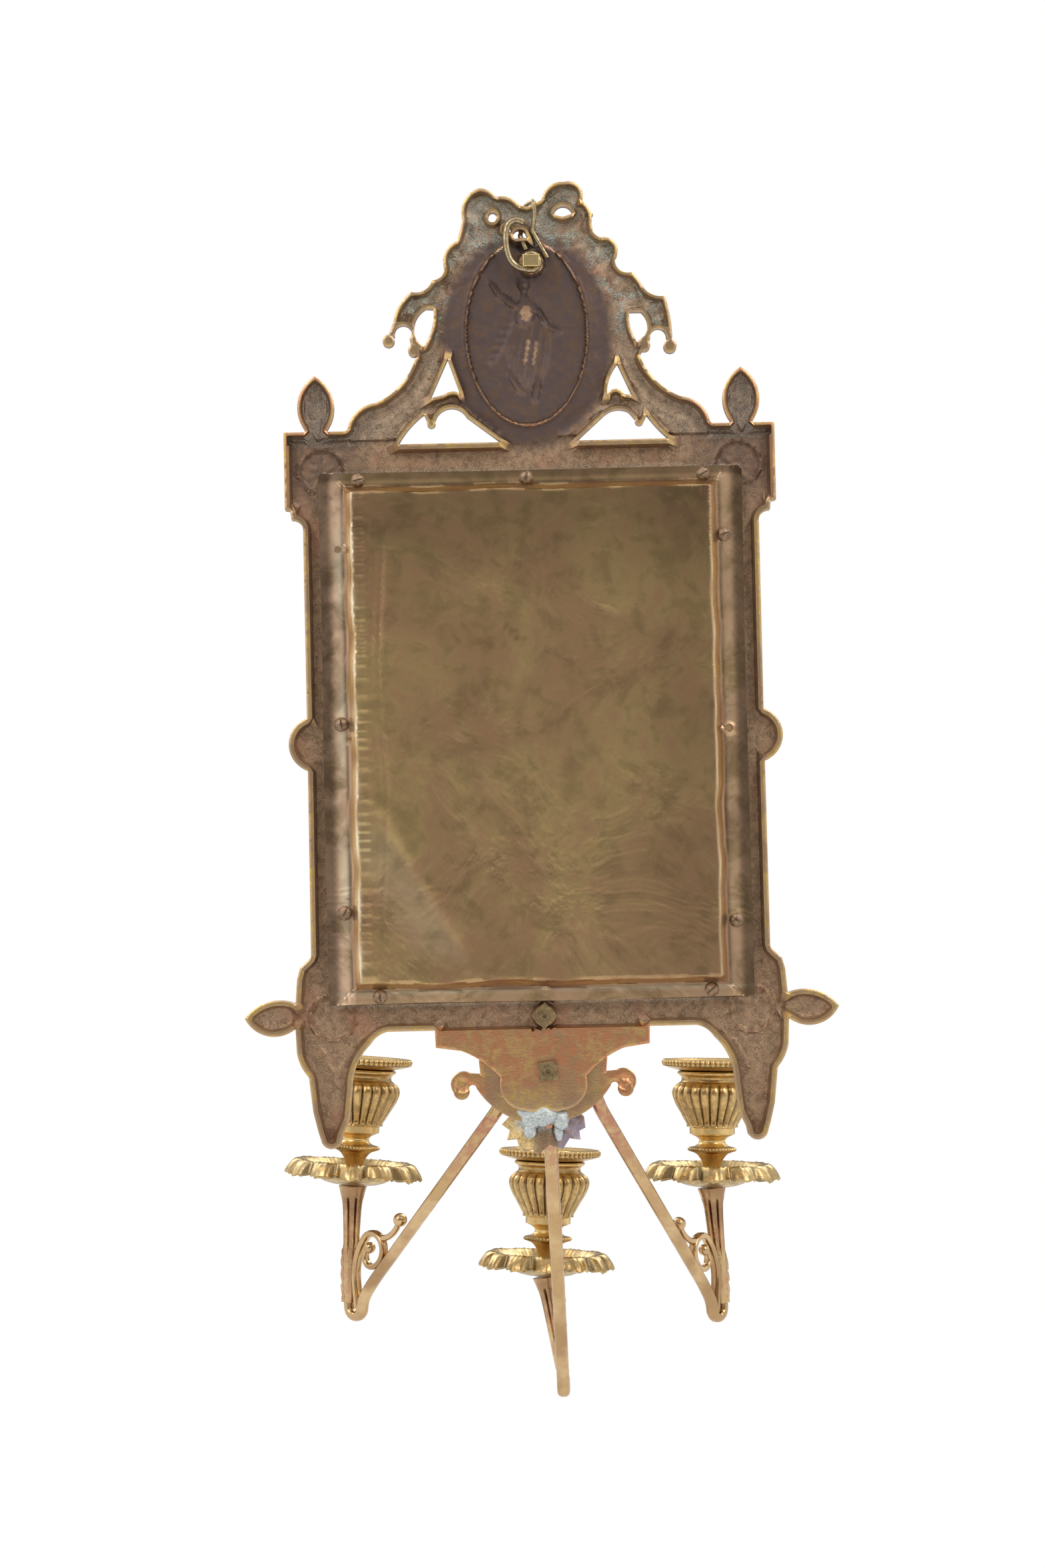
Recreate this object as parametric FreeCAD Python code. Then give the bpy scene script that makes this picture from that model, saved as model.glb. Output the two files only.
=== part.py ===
"""Three-light girandole mirror in cast and sheet brass, hung on a wall.

Frame: +Z up, the mirror faces -Y, and the wall is the plane y = 0.  The origin is on that plane,
at the middle of the sheet pan that closes the back.  All sizes are in millimetres.

A one-piece openwork casting carries a bevelled glass plate, a wooden board and the sheet pan.
Three scrolled arms spring from a cast mount bolted through the apron, and each arm carries a
fluted horn, a leaf drip pan, a turned knop, a vase-shaped cup and a lift-out candle nozzle.
"""
import FreeCAD, Part
import math
import os

V = FreeCAD.Vector

# ---------------------------------------------------------------- driving dimensions
# depth, measured from the wall
BACK_Y = -8.0            # flat filed back of the casting
WEB_Y = -17.0            # front of the casting's flat ground
POCKET_Y = -14.0         # floor of the hollow back
GLASS_FRONT_Y = -15.5
GLASS_T = 3.5
BEVEL_W = 16.0           # ground bevel of the mirror plate
BEVEL_T = 1.2
BOARD_BACK_Y = -3.0
SHEET_T = 0.8

# casting
RIM_W = 3.4              # width of the filed rim round the hollow back
RAIL_X = 114.8           # half width over the side rails
BLOCK_X = 123.7          # half width over the corner blocks
BLOCK_TOP_Z = 155.0
RAIL_TOP_Z = 148.4
RAIL_BOTTOM_Z = -147.4
SIGHT_X = 80.5           # half width of the visible glass
SIGHT_Z = 114.5
REBATE_X = 89.5          # half width of the rebate that holds the glass
REBATE_Z = 123.5
LEDGE_X = 104.0          # half width of the ledge that the pan is screwed to
LEDGE_Z = 133.0
SIDE_BOSS_Z = -2.5
SIDE_BOSS_R = 14.0
APRON_T = 3.0

# crest
OVAL_Z = 200.0
OVAL_HALF_W = 43.3
OVAL_HALF_H = 54.0
FIELD_HALF_W = 30.0
FIELD_HALF_H = 46.0
OVAL_END = 1.09          # end radius of an oval against that of a true ellipse
CREST_T = 8.0
CREST_FOOT_Z = 147.4     # the crest is cast on to the top rail from here
TAIL_ENDS = [(69.8, 200.4, 3.0), (57.0, 195.2, 3.0), (-72.2, 194.6, 3.3), (-59.3, 195.3, 2.9)]

# sheet pan
FLANGE_X = 106.8
FLANGE_Z = 133.7
PAN_FOOT_X = 94.0
PAN_FOOT_Z = 126.5
PAN_TOP_X = 90.0
PAN_TOP_Z = 123.0
PAN_BEND_R = 2.4
SCREW_R = 1.5
SCREW_HEAD_R = 3.65
SCREWS = [(86.8, 130.0), (2.0, 129.6), (-87.3, 129.6), (97.5, 7.2), (97.7, -87.5),
          (-96.9, 98.8), (-98.6, -95.3), (80.9, -129.8), (-85.4, -129.6)]
SPARE_HOLES = [(97.5, 95.2), (-97.1, 1.2), (-1.7, -130.2)]

# hanging gear at the top of the medallion
STUD_X = -3.0
STUD_Z = 238.3
STUD_R = 2.3
STUD_COLLAR_R = 4.6
RING_Y = -6.2
RING_WIRE_R = 1.65
EYE_CLEARANCE = 0.05
NUT_SIZE = (8.4, 3.9, 6.2)
TIE_WIRE_R = 1.15

# mount of the arms
MOUNT_T = 6.0
TONGUE_Y = -27.0
MOUNT_STUD_R = 2.6
MOUNT_STUDS = [(-1.2, -141.1, TONGUE_Y - 3.0), (-2.5, -168.8, BACK_Y - APRON_T - MOUNT_T)]
SQUARE_NUT = 9.6
SQUARE_NUT_T = 3.6

# arms: root, plan angle from +X, start heading, slope, straight run
ARM_BAR_W = 7.1
ARM_BAR_T = 5.4
BAR_CORNER_R = 1.9
SCROLL_W = 5.0           # band of the volute between bar and horn
SCROLL_T = 3.6
SCROLL_CORNER_R = 1.5
TWIG_R = 1.7             # stem of the balled branch
HEEL_R = 5.0
BRANCH_BALL_R = 3.6
VOLUTE_EYE_R = 3.0
ARMS = {
    "left": {"root_x": 19.7, "plan": -46.5, "start": -62.0, "slope": -43.0, "run": 124.0,
             "root_z": -180.0, "horn_h": 61.2, "horn_lean": -2.7, "cup_lean": -5.0},
    "centre": {"root_x": -2.5, "plan": -92.5, "start": -70.0, "slope": -53.0, "run": 151.5,
               "root_z": -189.0, "horn_h": 54.5, "horn_lean": 8.4, "cup_lean": -3.0},
    "right": {"root_x": -25.8, "plan": -124.0, "start": -63.5, "slope": -45.5, "run": 125.5,
              "root_z": -181.0, "horn_h": 61.0, "horn_lean": 3.8, "cup_lean": -2.0},
}
ARM_ROOT_Y = -14.0

# candle unit, heights above the underside of the drip pan
HORN_TOP_R = 6.8
HORN_MID_R = 4.3
HORN_FOOT_R = 2.9
HORN_SLOTS = 8
PAN_R = 36.0
PAN_LOBES = 12
SHEET_CAST_T = 1.5
ROD_R = 2.2
ROD_SINK = 14.0          # length of the rod inside the horn
HOLE_GAP = 0.05          # play of the rod in the pieces it clamps
KNOP_DISC_R = 12.8
KNOP_DISC_Z = 19.8
BAND_R = 11.7
BAND_Z = 27.2
VASE_R = 21.4
VASE_Z = 48.8
NECK_R = 18.7
CUP_TOP_Z = 61.0
CUP_BORE_R = 13.0
CUP_FLUTES = 16
NOZZLE_RIM_R = 26.8
NOZZLE_TOP_Z = 67.2
CANDLE_R = 11.25
NOZZLE_TUBE_R = 12.5
NOZZLE_FLOOR_Z = 41.0
SEAT_GAP = 0.05


# ---------------------------------------------------------------- helpers
def export(shape, node):
    shape.exportStep("parts/%s.step" % node)
    print("%-22s volume %9.1f  solids %d  valid %s"
          % (node, shape.Volume, len(shape.Solids), shape.isValid()))


def face_xz(steps, y):
    """Closed face in the plane y from line ends (x, z) and arcs ((mid), (end))."""
    edges = []
    here = V(steps[0][0], y, steps[0][1])
    first = here
    for step in steps[1:]:
        if isinstance(step[0], tuple):
            mid = V(step[0][0], y, step[0][1])
            end = V(step[1][0], y, step[1][1])
            edges.append(Part.Arc(here, mid, end).toShape())
        else:
            end = V(step[0], y, step[1])
            edges.append(Part.LineSegment(here, end).toShape())
        here = end
    if here.distanceToPoint(first) > 1e-6:
        edges.append(Part.LineSegment(here, first).toShape())
    return Part.Face(Part.Wire(edges))


def slab(face, front_y):
    """Solid between a face and the plane y = front_y."""
    depth = front_y - face.BoundBox.YMin
    return face.extrude(V(0, depth, 0))


def merged(faces, y, openings=()):
    """One flat region in the plane y from overlapping faces, less some openings."""
    block = slab(faces[0], y - 1.0)
    block = block.fuse([slab(face, y - 1.0) for face in faces[1:]])
    if openings:
        block = block.cut([slab(face, y - 1.0) for face in openings])
    block = block.removeSplitter()
    flat = [f for f in block.Faces if f.BoundBox.YLength < 1e-6 and f.BoundBox.YMax > y - 0.01]
    return Part.makeCompound(flat)


def joined(base, others):
    for other in others:
        base = base.fuse(other)
    return base


def carved(base, tools):
    for tool in tools:
        base = base.cut(tool)
    return base


def box(x0, x1, y0, y1, z0, z1):
    return Part.makeBox(x1 - x0, y1 - y0, z1 - z0, V(x0, y0, z0))


def ball(centre, radius, pole, seam):
    """Sphere with its pole and its seam turned to chosen directions."""
    sphere = Part.makeSphere(radius)
    sphere.Placement = FreeCAD.Placement(centre, FreeCAD.Rotation(seam, V(), pole, "ZXY"))
    return sphere


def rectangle(half_x, half_z, y):
    """Closed wire round a rectangle about the Y axis."""
    corners = [(-half_x, -half_z), (half_x, -half_z), (half_x, half_z), (-half_x, half_z)]
    return Part.makePolygon([V(x, y, z) for x, z in corners + corners[:1]])


def mirrored(shape):
    return shape.mirror(V(0, 0, 0), V(1, 0, 0))


def both_sides(shape):
    return [shape, mirrored(shape)]


def oval_face(half_w, half_h, centre_z, y):
    """Upright oval of four tangent arcs in the plane y."""
    end_r = OVAL_END * half_w ** 2 / half_h
    side_r = ((half_h - end_r) ** 2 + half_w ** 2 - end_r ** 2) / (2 * (half_w - end_r))
    share = end_r / (side_r - end_r)
    x = (side_r - half_w) * share
    low = centre_z - (half_h - end_r) * (1 + share)
    high = centre_z + (half_h - end_r) * (1 + share)
    return face_xz([
        (x, low), ((half_w, centre_z), (x, high)), ((0, centre_z + half_h), (-x, high)),
        ((-half_w, centre_z), (-x, low)), ((0, centre_z - half_h), (x, low)),
    ], y)


def disc_y(radius, x, z, y_back, y_front):
    """Round bar along Y between two planes."""
    return Part.makeCylinder(radius, y_back - y_front, V(x, y_front, z), V(0, 1, 0))


def turned(profile):
    """Solid of revolution about Z from (r, z) line ends and arcs ((mid), (end))."""
    edges = []
    here = V(profile[0][0], 0, profile[0][1])
    first = here
    for step in profile[1:]:
        if isinstance(step[0], tuple):
            mid = V(step[0][0], 0, step[0][1])
            end = V(step[1][0], 0, step[1][1])
            edges.append(Part.Arc(here, mid, end).toShape())
        else:
            end = V(step[0], 0, step[1])
            edges.append(Part.LineSegment(here, end).toShape())
        here = end
    edges.append(Part.LineSegment(here, first).toShape())
    solid = Part.Face(Part.Wire(edges)).revolve(V(0, 0, 0), V(0, 0, 1), 360)
    return solid


class Turtle:
    """Walks a plane path of straight runs and tangent arcs; headings are degrees from +u."""

    def __init__(self, u, v, heading):
        self.u, self.v, self.heading = u, v, heading
        self.moves = []

    def point(self):
        return (self.u, self.v)

    def go(self, run):
        start = self.point()
        self.u += run * math.cos(math.radians(self.heading))
        self.v += run * math.sin(math.radians(self.heading))
        self.moves.append((start, None, self.point()))
        return self

    def turn(self, radius, degrees):
        """Arc to the left for positive degrees, to the right for negative ones."""
        start = self.point()
        side = 90.0 if degrees > 0 else -90.0
        cu = self.u + radius * math.cos(math.radians(self.heading + side))
        cv = self.v + radius * math.sin(math.radians(self.heading + side))

        def on_arc(angle):
            at = math.radians(self.heading - side + angle)
            return (cu + radius * math.cos(at), cv + radius * math.sin(at))

        mid = on_arc(degrees / 2.0)
        self.u, self.v = on_arc(degrees)
        self.heading += degrees
        self.moves.append((start, mid, self.point()))
        return self

    def wire(self, place):
        """The path as a wire, with place(u, v) giving each point in space."""
        edges = []
        for start, mid, end in self.moves:
            if mid is None:
                edges.append(Part.LineSegment(place(*start), place(*end)).toShape())
            else:
                edges.append(Part.Arc(place(*start), place(*mid), place(*end)).toShape())
        return Part.Wire(edges)


def pipe(route, profile):
    shell = Part.BRepOffsetAPI.MakePipeShell(route)
    shell.add(profile)
    shell.build()
    shell.makeSolid()
    return shell.shape()


def start_frame(route):
    """Start point and direction of a wire."""
    first = route.OrderedEdges[0]
    at = first.FirstParameter
    if first.valueAt(at).distanceToPoint(route.OrderedVertexes[0].Point) > 1e-6:
        at = first.LastParameter
        return first.valueAt(at), first.tangentAt(at) * -1
    return first.valueAt(at), first.tangentAt(at)


def round_profile(route, radius):
    at, along = start_frame(route)
    return Part.Wire([Part.Circle(at, along, radius).toShape()])


def bar_profile(route, across, thick, corner, sideways):
    """Rounded rectangle square to the start of a route; across runs along sideways."""
    at, along = start_frame(route)
    other = along.cross(sideways).normalize()
    a, b = across / 2.0, thick / 2.0

    def put(u, v):
        return at + sideways * u + other * v

    cut = corner * (1 - math.sqrt(0.5))
    edges = []
    for su, sv, flip in ((1, 1, False), (-1, 1, True), (-1, -1, False), (1, -1, True)):
        near_v = put(su * a, sv * (b - corner))
        mid = put(su * (a - cut), sv * (b - cut))
        near_u = put(su * (a - corner), sv * b)
        ends = (near_u, near_v) if flip else (near_v, near_u)
        edges.append((ends[0], mid, ends[1]))
    parts = []
    for index, (start, mid, end) in enumerate(edges):
        parts.append(Part.Arc(start, mid, end).toShape())
        following = edges[(index + 1) % 4][0]
        parts.append(Part.LineSegment(end, following).toShape())
    return Part.Wire(parts)


def rounded_route(points, radius):
    """Wire through straight runs with tangent arcs at the corners."""
    edges = []
    here = points[0]
    for before, corner, after in zip(points, points[1:], points[2:]):
        back = (before - corner).normalize()
        ahead = (after - corner).normalize()
        half_turn = (math.pi - back.getAngle(ahead)) / 2.0
        reach = radius * math.tan(half_turn)
        start = corner + back * reach
        end = corner + ahead * reach
        bisector = (back + ahead).normalize()
        mid = corner + bisector * (radius / math.cos(half_turn) - radius)
        edges.append(Part.LineSegment(here, start).toShape())
        edges.append(Part.Arc(start, mid, end).toShape())
        here = end
    edges.append(Part.LineSegment(here, points[-1]).toShape())
    return Part.Wire(edges)


# ---------------------------------------------------------------- frame casting
def body_half():
    """Right half of the rails, corner blocks and leg, seen from the front."""
    return [
        (0, RAIL_TOP_Z), (88.0, RAIL_TOP_Z), (91.2, BLOCK_TOP_Z), (BLOCK_X, BLOCK_TOP_Z),
        (BLOCK_X, 116.0), (121.0, 115.5), (120.5, 111.0), ((116.2, 109.2), (RAIL_X, 104.5)),
        (RAIL_X, SIDE_BOSS_Z), (RAIL_X + 0.4, -109.0), (117.0, -111.0), (120.8, -114.5),
        (122.4, -120.0), (123.4, -131.8), (123.7, -145.5), (123.2, -157.6),
        ((121.0, -164.2), (117.5, -169.4)), (115.6, -187.0), (113.2, -197.0), (112.0, -200.8),
        ((107.2, -205.4), (102.0, -202.5)), (101.2, -198.7), (97.6, -191.0), (95.8, -175.4),
        ((92.4, -161.5), (86.5, -153.8)), ((82.8, -149.8), (77.5, RAIL_BOTTOM_Z)),
        (0, RAIL_BOTTOM_Z),
    ]


def body_face(y):
    half = face_xz(body_half(), y)
    boss = Part.Face(Part.Wire([Part.Circle(V(RAIL_X - 4.6, y, SIDE_BOSS_Z), V(0, 1, 0),
                                            SIDE_BOSS_R).toShape()]))
    return merged(both_sides(half) + both_sides(boss), y)


def apron_face(y):
    half = face_xz([
        (0, RAIL_BOTTOM_Z + 4.0), (54.0, RAIL_BOTTOM_Z + 4.0), (53.6, -156.0), (41.0, -157.8),
        ((31.3, -162.8), (21.5, -171.7)), ((20.4, -181.5), (9.4, -188.3)),
        ((4.0, -188.8), (0, -186.5)),
    ], y)
    return merged(both_sides(half), y)


def side_leaf_face(y):
    return face_xz([
        (121.0, -133.5), (124.5, -131.8), ((136.0, -131.0), (149.0, -139.3)),
        ((136.0, -148.6), (124.5, -145.6)), (121.0, -144.0),
    ], y)


def finial_face(y):
    return face_xz([
        (101.6, 150.0), (101.6, 156.0), ((98.0, 167.0), (107.4, 183.2)),
        ((116.5, 167.0), (112.9, 156.0)), (112.9, 150.0),
    ], y)


def brace_face(y):
    """Acanthus S-scroll from the block up to the medallion, with its arched inner strap."""
    return face_xz([
        (94.0, 147.3), (94.0, 154.5), (91.4, 155.8), ((87.3, 164.0), (77.3, 168.9)),
        ((65.6, 176.4), (56.6, 190.6)), (46.0, 204.0), (40.0, 204.0), (14.0, 172.0),
        (10.0, 147.3),
    ], y)


def garland_left(y):
    """Scalloped festoon at +X, ending in an outer and an inner tail."""
    return face_xz([
        (20.0, 262.0), (30.5, 264.0), ((30.2, 257.2), (33.1, 250.3)), ((36.9, 248.7), (39.7, 245.6)),
        ((41.3, 240.5), (40.8, 236.0)), ((43.2, 231.8), (47.1, 230.5)),
        ((51.0, 225.7), (57.8, 224.8)), ((63.5, 219.0), (67.1, 209.6)), (69.2, 204.2),
        (69.8, 200.4), (66.5, 202.8), ((62.8, 208.3), (59.1, 201.0)), (58.4, 198.0), (55.0, 191.6),
        (46.0, 186.0), (38.0, 196.0), (16.0, 236.0),
    ], y)


def garland_right(y):
    """Festoon of the other side, drawn at +X before it is mirrored."""
    return face_xz([
        (20.0, 262.0), (34.9, 262.5), ((33.5, 256.0), (38.6, 250.2)), ((45.2, 248.2), (45.4, 239.5)),
        ((47.3, 234.0), (53.8, 232.5)), ((56.7, 229.0), (59.3, 224.7)), ((63.9, 220.9), (70.1, 220.0)),
        ((72.3, 211.0), (73.4, 199.0)), (72.2, 194.6), (70.3, 199.5), ((67.5, 203.6), (62.3, 198.8)),
        (61.0, 196.0), (57.0, 191.0), (46.0, 186.0), (38.0, 196.0), (16.0, 236.0),
    ], y)


def openings_left(y):
    """Arched gap over the rail, triangle above it and drop beside the inner tail, at +X."""
    arch = face_xz([
        (66.0, 147.8), ((59.4, 156.9), (52.7, 162.8)), (51.0, 159.0), ((48.8, 156.0), (47.2, 159.0)),
        ((41.8, 165.2), (31.2, 161.0)), (14.0, 147.8),
    ], y)
    triangle = face_xz([
        (40.2, 190.6), (34.3, 173.1), ((38.4, 173.9), (42.6, 172.3)), (49.3, 170.7),
    ], y)
    drop = face_xz([
        (46.7, 216.2), ((47.6, 206.6), (52.1, 196.9)), (55.6, 200.4), ((55.9, 210.5), (50.7, 216.4)),
    ], y)
    return [arch, triangle, drop]


def openings_right(y):
    """The same three gaps of the other side, drawn at +X before they are mirrored."""
    arch = face_xz([
        (24.0, 147.8), (38.2, 160.5), ((45.0, 163.2), (50.5, 161.9)), (53.8, 158.0),
        ((55.4, 155.0), (57.9, 156.7)), (59.6, 160.0), ((64.3, 154.0), (70.6, 147.8)),
    ], y)
    triangle = face_xz([
        (45.4, 186.4), ((41.2, 179.0), (39.9, 170.8)), ((44.8, 173.4), (48.4, 170.6)), (52.5, 170.2),
    ], y)
    drop = face_xz([
        (52.0, 212.5), ((52.4, 204.6), (55.6, 196.9)), (59.2, 199.8), ((61.0, 206.8), (57.8, 212.5)),
    ], y)
    return [arch, triangle, drop]


def bow_face(y):
    """Ribbon bow of two loops over a knot, a little lopsided as cast by hand."""
    right = face_xz([
        (-3.0, 236.0), (34.0, 250.0), (31.0, 261.0), ((29.8, 271.0), (22.4, 276.6)),
        ((17.0, 275.0), (14.0, 272.0)), ((7.0, 271.4), (2.3, 267.5)), (-3.0, 266.4),
    ], y)
    left = face_xz([
        (-2.0, 236.0), (-2.0, 266.6), (-9.0, 270.0), ((-13.5, 277.2), (-20.6, 278.9)),
        ((-27.6, 277.2), (-29.4, 269.0)), ((-33.2, 264.6), (-34.0, 258.0)), (-35.0, 250.0),
    ], y)
    return merged([right, left], y)


def tail_end(x, z, radius, y):
    """Round end of a festoon's tail."""
    return Part.Face(Part.Wire([Part.Circle(V(x, y, z), V(0, 1, 0), radius).toShape()]))


def crest_outline(y):
    """The crest without its openings."""
    pieces = [oval_face(OVAL_HALF_W, OVAL_HALF_H, OVAL_Z, y), bow_face(y)]
    pieces += both_sides(brace_face(y)) + [garland_left(y), mirrored(garland_right(y))]
    pieces += [tail_end(x, z, radius, y) for x, z, radius in TAIL_ENDS]
    below = face_xz([(-96, CREST_FOOT_Z), (96, CREST_FOOT_Z), (96, 100.0), (-96, 100.0)], y)
    return merged(pieces, y, [below])


def crest_openings(y):
    return openings_left(y) + [mirrored(opening) for opening in openings_right(y)]


def hollow(face, depth_y, openings=()):
    """The pocket left inside the filed rim of a flat casting and round its openings."""
    pockets = [slab(inner, depth_y) for part in face.Faces
               for inner in part.makeOffset2D(-RIM_W).Faces]
    kept = [slab(opening.makeOffset2D(RIM_W), depth_y) for opening in openings]
    return [carved(pocket, kept) for pocket in pockets]


def rail_moulding():
    """Stepped and hollowed moulding run mitred round the sight opening."""
    y = WEB_Y + 0.2
    profile = [
        (SIGHT_X, y), (SIGHT_X, y - 2.2), ((SIGHT_X + 1.6, y - 4.0), (SIGHT_X + 3.2, y - 2.2)),
        (SIGHT_X + 4.4, y - 2.2), ((SIGHT_X + 6.0, y - 6.0), (SIGHT_X + 12.0, y - 7.4)),
        (SIGHT_X + 14.0, y - 7.4), ((SIGHT_X + 18.0, y - 9.0), (SIGHT_X + 22.0, y - 7.4)),
        (SIGHT_X + 24.0, y - 7.4), ((SIGHT_X + 27.5, y - 5.4), (SIGHT_X + 28.6, y - 2.0)),
        (SIGHT_X + 32.6, y - 2.0), (SIGHT_X + 32.6, y),
    ]
    edges = []
    here = V(profile[0][0], profile[0][1], 0)
    first = here
    for step in profile[1:]:
        if isinstance(step[0], tuple):
            mid = V(step[0][0], step[0][1], 0)
            end = V(step[1][0], step[1][1], 0)
            edges.append(Part.Arc(here, mid, end).toShape())
        else:
            end = V(step[0], step[1], 0)
            edges.append(Part.LineSegment(here, end).toShape())
        here = end
    edges.append(Part.LineSegment(here, first).toShape())
    corners = [V(SIGHT_X, y, 0), V(SIGHT_X, y, SIGHT_Z), V(-SIGHT_X, y, SIGHT_Z),
               V(-SIGHT_X, y, -SIGHT_Z), V(SIGHT_X, y, -SIGHT_Z), V(SIGHT_X, y, 0)]
    route = Part.makePolygon(corners)
    shell = Part.BRepOffsetAPI.MakePipeShell(route)
    shell.setTransitionMode(1)
    shell.add(Part.Wire(edges))
    shell.build()
    shell.makeSolid()
    return shell.shape()


def rosette(x, z, radius, front_y):
    """Six-petalled rosette with a domed eye, raised on a corner block."""
    ground = disc_y(radius, x, z, front_y + 0.5, front_y - 2.0)
    petals = []
    for index in range(6):
        angle = math.radians(60 * index)
        outward = V(math.cos(angle), 0, math.sin(angle))
        centre = V(x, front_y - 1.6, z) + outward * radius * 0.56
        petals.append(ball(centre, radius * 0.34, V(0, -1, 0), outward))
    eye = ball(V(x, front_y - 2.8, z), radius * 0.26, V(0, -1, 0), V(1, 0, 0))
    return joined(ground, petals + [eye])


def medallion_front():
    """Moulded oval ring and slightly domed field of the medallion."""
    ring = slab(oval_face(OVAL_HALF_W - 1.0, OVAL_HALF_H - 1.0, OVAL_Z, BACK_Y - 2.0),
                BACK_Y - CREST_T - 4.0)
    ring = ring.cut(slab(oval_face(FIELD_HALF_W + 4.0, FIELD_HALF_H - 2.0, OVAL_Z,
                                   BACK_Y - CREST_T), BACK_Y - CREST_T - 9.0))
    edges = [e for e in ring.Edges if e.BoundBox.YMax < BACK_Y - CREST_T - 3.9]
    return ring.makeFillet(2.4, edges)


def frame_casting():
    body = body_face(BACK_Y)
    casting = slab(body, WEB_Y)
    rebate = box(-REBATE_X, REBATE_X, GLASS_FRONT_Y, BACK_Y + 1, -REBATE_Z, REBATE_Z)
    sight = box(-SIGHT_X, SIGHT_X, WEB_Y - 20, 0, -SIGHT_Z, SIGHT_Z)
    ledge = box(-LEDGE_X, LEDGE_X, POCKET_Y - 1, BACK_Y + 1, -LEDGE_Z, LEDGE_Z)

    crest = crest_outline(BACK_Y)
    crest_gaps = crest_openings(BACK_Y)
    crest_solid = carved(slab(crest, BACK_Y - CREST_T),
                         [slab(gap, BACK_Y - CREST_T - 1.0) for gap in crest_gaps])
    leaves = [slab(f, BACK_Y - 6.0) for f in
              both_sides(side_leaf_face(BACK_Y)) + both_sides(finial_face(BACK_Y))]
    legs = box(80, 126, WEB_Y - 5, WEB_Y + 1, -206, -150).common(slab(body, WEB_Y - 5))
    casting = joined(casting, [crest_solid, rail_moulding(), medallion_front(), legs,
                               mirrored(legs), slab(apron_face(BACK_Y), BACK_Y - APRON_T)] + leaves)

    pockets = [p.cut(ledge) for p in hollow(body, POCKET_Y)]
    pockets += hollow(crest, BACK_Y - CREST_T + 3.0, crest_gaps)
    for face in both_sides(side_leaf_face(BACK_Y)) + both_sides(finial_face(BACK_Y)):
        pockets += hollow(face, BACK_Y - 3.0)
    field = slab(oval_face(FIELD_HALF_W, FIELD_HALF_H, OVAL_Z + 3.3, BACK_Y),
                 BACK_Y - CREST_T + 0.8)
    casting = carved(casting, [rebate, sight, field] + pockets)

    blocks = []
    for x, z in ((105.3, 134.0), (105.0, -134.0)):
        block = box(x - 17.5, x + 17.5, WEB_Y - 7.0, WEB_Y + 0.5, z - 16.5, z + 16.5)
        edges = [e for e in block.Edges if e.BoundBox.YMax < WEB_Y - 6.9]
        block = block.makeChamfer(2.0, edges)
        blocks.append(block.fuse(rosette(x, z, 12.0, WEB_Y - 7.0)))
    shell = disc_y(SIDE_BOSS_R - 1.5, RAIL_X - 4.6, SIDE_BOSS_Z, WEB_Y + 0.5, WEB_Y - 5.0)
    fronts = []
    for piece in blocks + [shell]:
        fronts += both_sides(piece)
    casting = joined(casting, fronts)

    holes = [disc_y(SCREW_R + 0.1, x, z, BACK_Y + 1, POCKET_Y) for x, z in SCREWS]
    holes += [disc_y(SCREW_R + 0.1, x, z, BACK_Y + 1, POCKET_Y) for x, z in SPARE_HOLES]
    holes += [disc_y(MOUNT_STUD_R + 0.1, x, z, BACK_Y + 1, TONGUE_Y) for x, z, _ in MOUNT_STUDS]
    holes += bow_holes()
    casting = carved(casting, holes)
    boss = disc_y(STUD_COLLAR_R + 1.2, STUD_X, STUD_Z, BACK_Y - 0.2, BACK_Y - CREST_T + 0.5)
    casting = casting.fuse(boss)
    casting = casting.cut(disc_y(STUD_R, STUD_X, STUD_Z, 0, BACK_Y - CREST_T + 1.6))
    return casting.removeSplitter()


def bow_holes():
    """Eyes of the bow's loops and the two slots for the hanging wire."""
    y = BACK_Y + 1
    eyes = [
        face_xz([(14.0, 261.6), ((15.8, 264.6), (18.0, 262.4)), ((16.2, 259.2), (14.0, 261.6))], y),
        face_xz([(-15.0, 262.4), ((-19.8, 267.0), (-24.4, 262.6)), (-19.5, 261.2)], y),
        face_xz([(6.8, 254.0), (7.2, 256.6), ((9.4, 257.4), (10.9, 255.6)), (10.4, 253.8)], y),
        face_xz([(-1.6, 251.0), (-0.4, 254.0), ((3.4, 255.4), (6.0, 253.2)), (5.0, 250.6)], y),
    ]
    return [slab(eye, BACK_Y - CREST_T - 8.0) for eye in eyes]


# ---------------------------------------------------------------- glass, board and pan
def mirror_glass():
    """Plate whose ground bevel bears on the sight edge of the casting."""
    x, z = REBATE_X - 1.0, REBATE_Z - 1.0
    bear_in = (x - SIGHT_X) / BEVEL_W * BEVEL_T
    edge_y = GLASS_FRONT_Y + bear_in
    back = box(-x, x, edge_y, GLASS_FRONT_Y + GLASS_T, -z, z)
    bevel = Part.makeLoft([rectangle(x, z, edge_y),
                           rectangle(x - BEVEL_W, z - BEVEL_W, edge_y - BEVEL_T)], True)
    return back.fuse(bevel).removeSplitter()


def backing_board():
    x, z = REBATE_X - 1.0, REBATE_Z - 1.0
    back = box(-x, x, GLASS_FRONT_Y + GLASS_T, BOARD_BACK_Y, -z, z)
    edges = [e for e in back.Edges if e.BoundBox.YMin > BOARD_BACK_Y - 0.01]
    return back.makeChamfer(1.5, edges)


def pan_block(shrink, foot_y, top_y):
    """Raised part of the pan as a tapered block with rounded bends."""
    foot_x, foot_z = PAN_FOOT_X - shrink, PAN_FOOT_Z - shrink
    top_x, top_z = PAN_TOP_X - shrink, PAN_TOP_Z - shrink
    block = Part.makeLoft([rectangle(foot_x, foot_z, foot_y), rectangle(top_x, top_z, top_y)], True)
    top_edges = [e for e in block.Edges if e.BoundBox.YMin > foot_y + 0.01 or e.BoundBox.YLength > 1]
    return block.makeFillet(PAN_BEND_R - min(shrink, 0.8), top_edges)


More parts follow.
